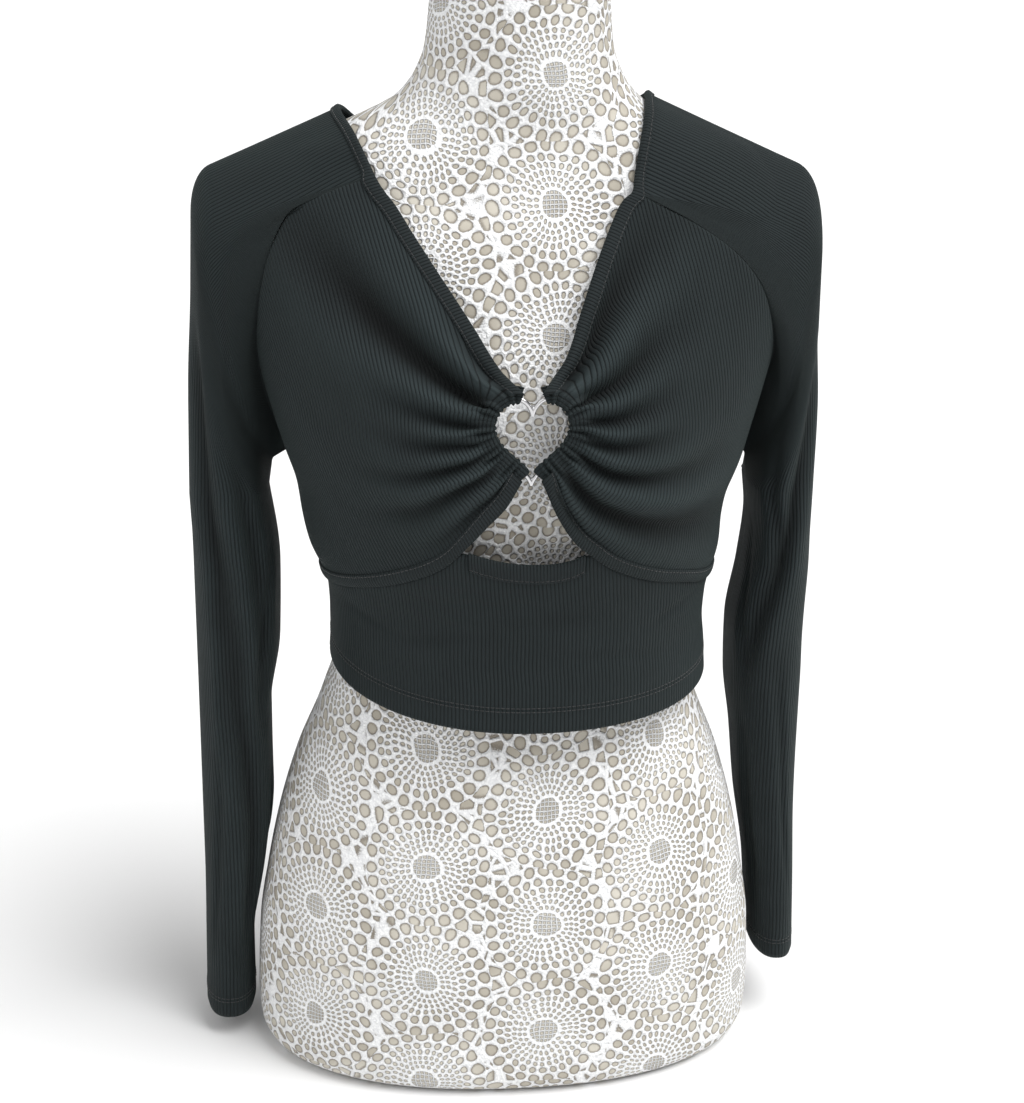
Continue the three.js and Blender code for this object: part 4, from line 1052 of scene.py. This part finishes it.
strip = np.concatenate([
    edge_strip(bust_right, lambda s, t: (s, t), NECK_BINDING, front_s),
    edge_strip(sleeve_right, lambda s, t: (s, t), NECK_BINDING, shoulder_u),
    edge_strip(back, lambda s, t: (s, 1 - t), NECK_BINDING, np.linspace(0, 1, 110)),
    edge_strip(sleeve_left, lambda s, t: (s, t), NECK_BINDING, shoulder_u[::-1]),
    edge_strip(bust_left, lambda s, t: (s, t), NECK_BINDING, front_s[::-1]),
])
for _ in range(3):
    strip[1:-1] = (strip[:-2] + 2 * strip[1:-1] + strip[2:]) / 4
strips["neck"] = (strip, binding("neckline_binding", "neck_binding", strip, 1, NECK_BINDING), NECK_BINDING)


# The sewing: twin lines along the hem and cuffs and one line on each binding, in black cotton
# thread, each stitch a short sunk loop.
THREAD = 0.28
STITCH = 2.7
STITCH_GAP = 0.55
thread = Finish("black_thread", Sheen_Weight=0.3)
twist = abs((thread.grain()[1] * 1.6 + thread.grain()[2] * 0.9).fraction() - 0.5) * 2
thread.feed(Base_Color=thread.blend(twist, (0.003, 0.0035, 0.004, 1), (0.012, 0.015, 0.016, 1)),
            Roughness=0.55 + twist * 0.3, Normal=thread.relief(twist, 0.12))


def stitches(paths):
    """Points and faces of rounded stitches along paths, each a row of points with its way out."""
    rings_along = np.array([-0.5, -0.38, 0.0, 0.38, 0.5])
    fat = np.array([0.25, 0.9, 1.0, 0.9, 0.25])
    dip = np.array([-0.8, -0.1, 0.25, -0.1, -0.8])
    rolls = np.linspace(0, 2 * math.pi, 7, endpoint=False)
    made = []
    for points, way in paths:
        length = run(points)
        count = int(length[-1] // (STITCH + STITCH_GAP))
        centres = (np.arange(count) + 0.5) * length[-1] / max(count, 1)
        for_each = [np.interp(centres, length, values) for values in (*points.T, *way.T)]
        c, n = np.stack(for_each[:3], -1), np.stack(for_each[3:], -1)
        ahead = np.stack([np.interp(centres + 0.5, length, v) - np.interp(centres - 0.5, length, v) for v in points.T], -1)
        ahead = ahead / np.maximum(np.linalg.norm(ahead, axis=-1, keepdims=True), 1e-6)
        n = n / np.linalg.norm(n, axis=-1, keepdims=True)
        side = np.cross(ahead, n)
        spine = c[:, None] + ahead[:, None] * (rings_along * STITCH)[:, None] + n[:, None] * (dip * THREAD)[:, None]
        round_ = side[:, None, None] * np.cos(rolls)[:, None] + n[:, None, None] * np.sin(rolls)[:, None]
        made.append(spine[:, :, None] + round_ * (THREAD * fat)[None, :, None, None])
    return np.concatenate(made)


def sew(name, paths):
    loops = stitches(paths)
    count, rows, cols = loops.shape[:3]
    faces = grid_faces(rows, cols, False, True)
    one = faces[..., 0] * cols + faces[..., 1] % cols
    ids = (one[None] + (np.arange(count) * rows * cols)[:, None, None]).reshape(-1, 4)
    places = np.tile(faces[..., 0] * (cols + 1) + faces[..., 1], (count, 1))
    marks = np.stack(np.meshgrid(np.arange(rows) * 0.7, np.arange(cols + 1) * 0.3, indexing="ij"), -1)
    ends = [list(range(k, k + cols))[::-1] for k in range(0, count * rows * cols, rows * cols)]
    ends += [list(range(k - cols, k)) for k in range(rows * cols, (count + 1) * rows * cols, rows * cols)]
    made = piece(name, loops.reshape(-1, 3), ids, places, marks.reshape(-1, 2), ends)
    made.data.materials.append(thread.material)


def at_depth(grid, way, far, distance, lift):
    """The path over a grid's columns at one distance from the edge where far is 0."""
    points, out = [], []
    for j in range(grid.shape[1]):
        order = np.argsort(far[:, j])
        points.append([np.interp(distance, far[order, j], grid[order, j, k]) for k in range(3)])
        out.append([np.interp(distance, far[order, j], way[order, j, k]) for k in range(3)])
    points, out = np.array(points), np.array(out)
    return points + out * lift, out


TWIN = (-1.3, 1.3)
hem_paths = [at_depth(grid, way, run(grid), HEM_DEPTH + off, THREAD * 0.5)
             for grid, way in ((band_grid, band_way), (back_grid, back_way)) for off in TWIN]
sew("hem_stitches", hem_paths)
for word, (grid, way) in sleeve_grids.items():
    far = run(grid)[-1:] - run(grid)
    paths = [at_depth(grid, way, far, CUFF_HEM + off, THREAD * 0.5) for off in TWIN]
    sew(f"cuff_stitches_{word}", [(np.concatenate([p, p[:1]]), np.concatenate([o, o[:1]])) for p, o in paths])
for word, (strip, way, width) in strips.items():
    line_at = strip_at(strip, way, 0.83 * width, 1.1 + THREAD * 0.6, width)
    sew(f"{word}_stitches", [(line_at, way[:, 5])])


# The stage: a pale floor, soft studio light from the upper left and right, and the camera at the
# picture's viewing angle.
PICTURE = (1024, 1103)
VIEW = {"azimuth": -6.0, "pitch": 20.0, "roll": -1.0, "distance": 1.425, "aim": (0.001, 0, 0.357), "focal": 2111.0}
SENSOR = 36.0

floor_mesh = bpy.data.meshes.new("floor")
floor_mesh.from_pydata([(x, y, -0.0005) for x, y in ((-90, -90), (90, -90), (90, 90), (-90, 90))], [], [(0, 1, 2, 3)])
floor = bpy.data.objects.new("floor", floor_mesh)
bpy.context.scene.collection.objects.link(floor)
pale = Finish("pale_floor", Base_Color=(0.86, 0.86, 0.86, 1), Roughness=0.9)
floor_mesh.materials.append(pale.material)

world = bpy.data.worlds.new("studio")
world.use_nodes = True
world.node_tree.nodes["Background"].inputs["Color"].default_value = (1.0, 1.0, 1.0, 1)
world.node_tree.nodes["Background"].inputs["Strength"].default_value = 0.42
bpy.context.scene.world = world

# Soft lights: direction it comes from, apparent size in degrees and strength
for name, away, wide, strength in (
    ("key", (0.5, -0.34, 1.0), 42, 3.3),
    ("fill", (-0.8, -0.65, 0.75), 60, 0.6),
):
    lamp = bpy.data.lights.new(name, "SUN")
    lamp.angle, lamp.energy = math.radians(wide), strength
    light = bpy.data.objects.new(name, lamp)
    back_z = np.array(away) / np.linalg.norm(away)
    right_x = np.cross([0, 0, 1], back_z)
    right_x = right_x / np.linalg.norm(right_x)
    turn = Matrix(np.stack([right_x, np.cross(back_z, right_x), back_z], 1).tolist()).to_4x4()
    turn.translation = back_z * 3
    light.matrix_world = turn
    bpy.context.scene.collection.objects.link(light)

azimuth, pitch, roll = (math.radians(VIEW[key]) for key in ("azimuth", "pitch", "roll"))
look = np.array([math.sin(azimuth) * math.cos(pitch), -math.cos(azimuth) * math.cos(pitch), math.sin(pitch)])
level = np.array([math.cos(azimuth), math.sin(azimuth), 0])
upright = np.cross(look, level)
lens = bpy.data.cameras.new("camera")
lens.sensor_width = SENSOR
lens.lens = VIEW["focal"] / max(PICTURE) * SENSOR
camera = bpy.data.objects.new("camera", lens)
axes = [level * math.cos(roll) - upright * math.sin(roll), upright * math.cos(roll) + level * math.sin(roll), look]
stand = Matrix(np.stack(axes, 1).tolist()).to_4x4()
stand.translation = np.array(VIEW["aim"]) + look * VIEW["distance"]
camera.matrix_world = stand
bpy.context.scene.collection.objects.link(camera)
bpy.context.scene.camera = camera
bpy.context.scene.view_settings.view_transform = "Standard"
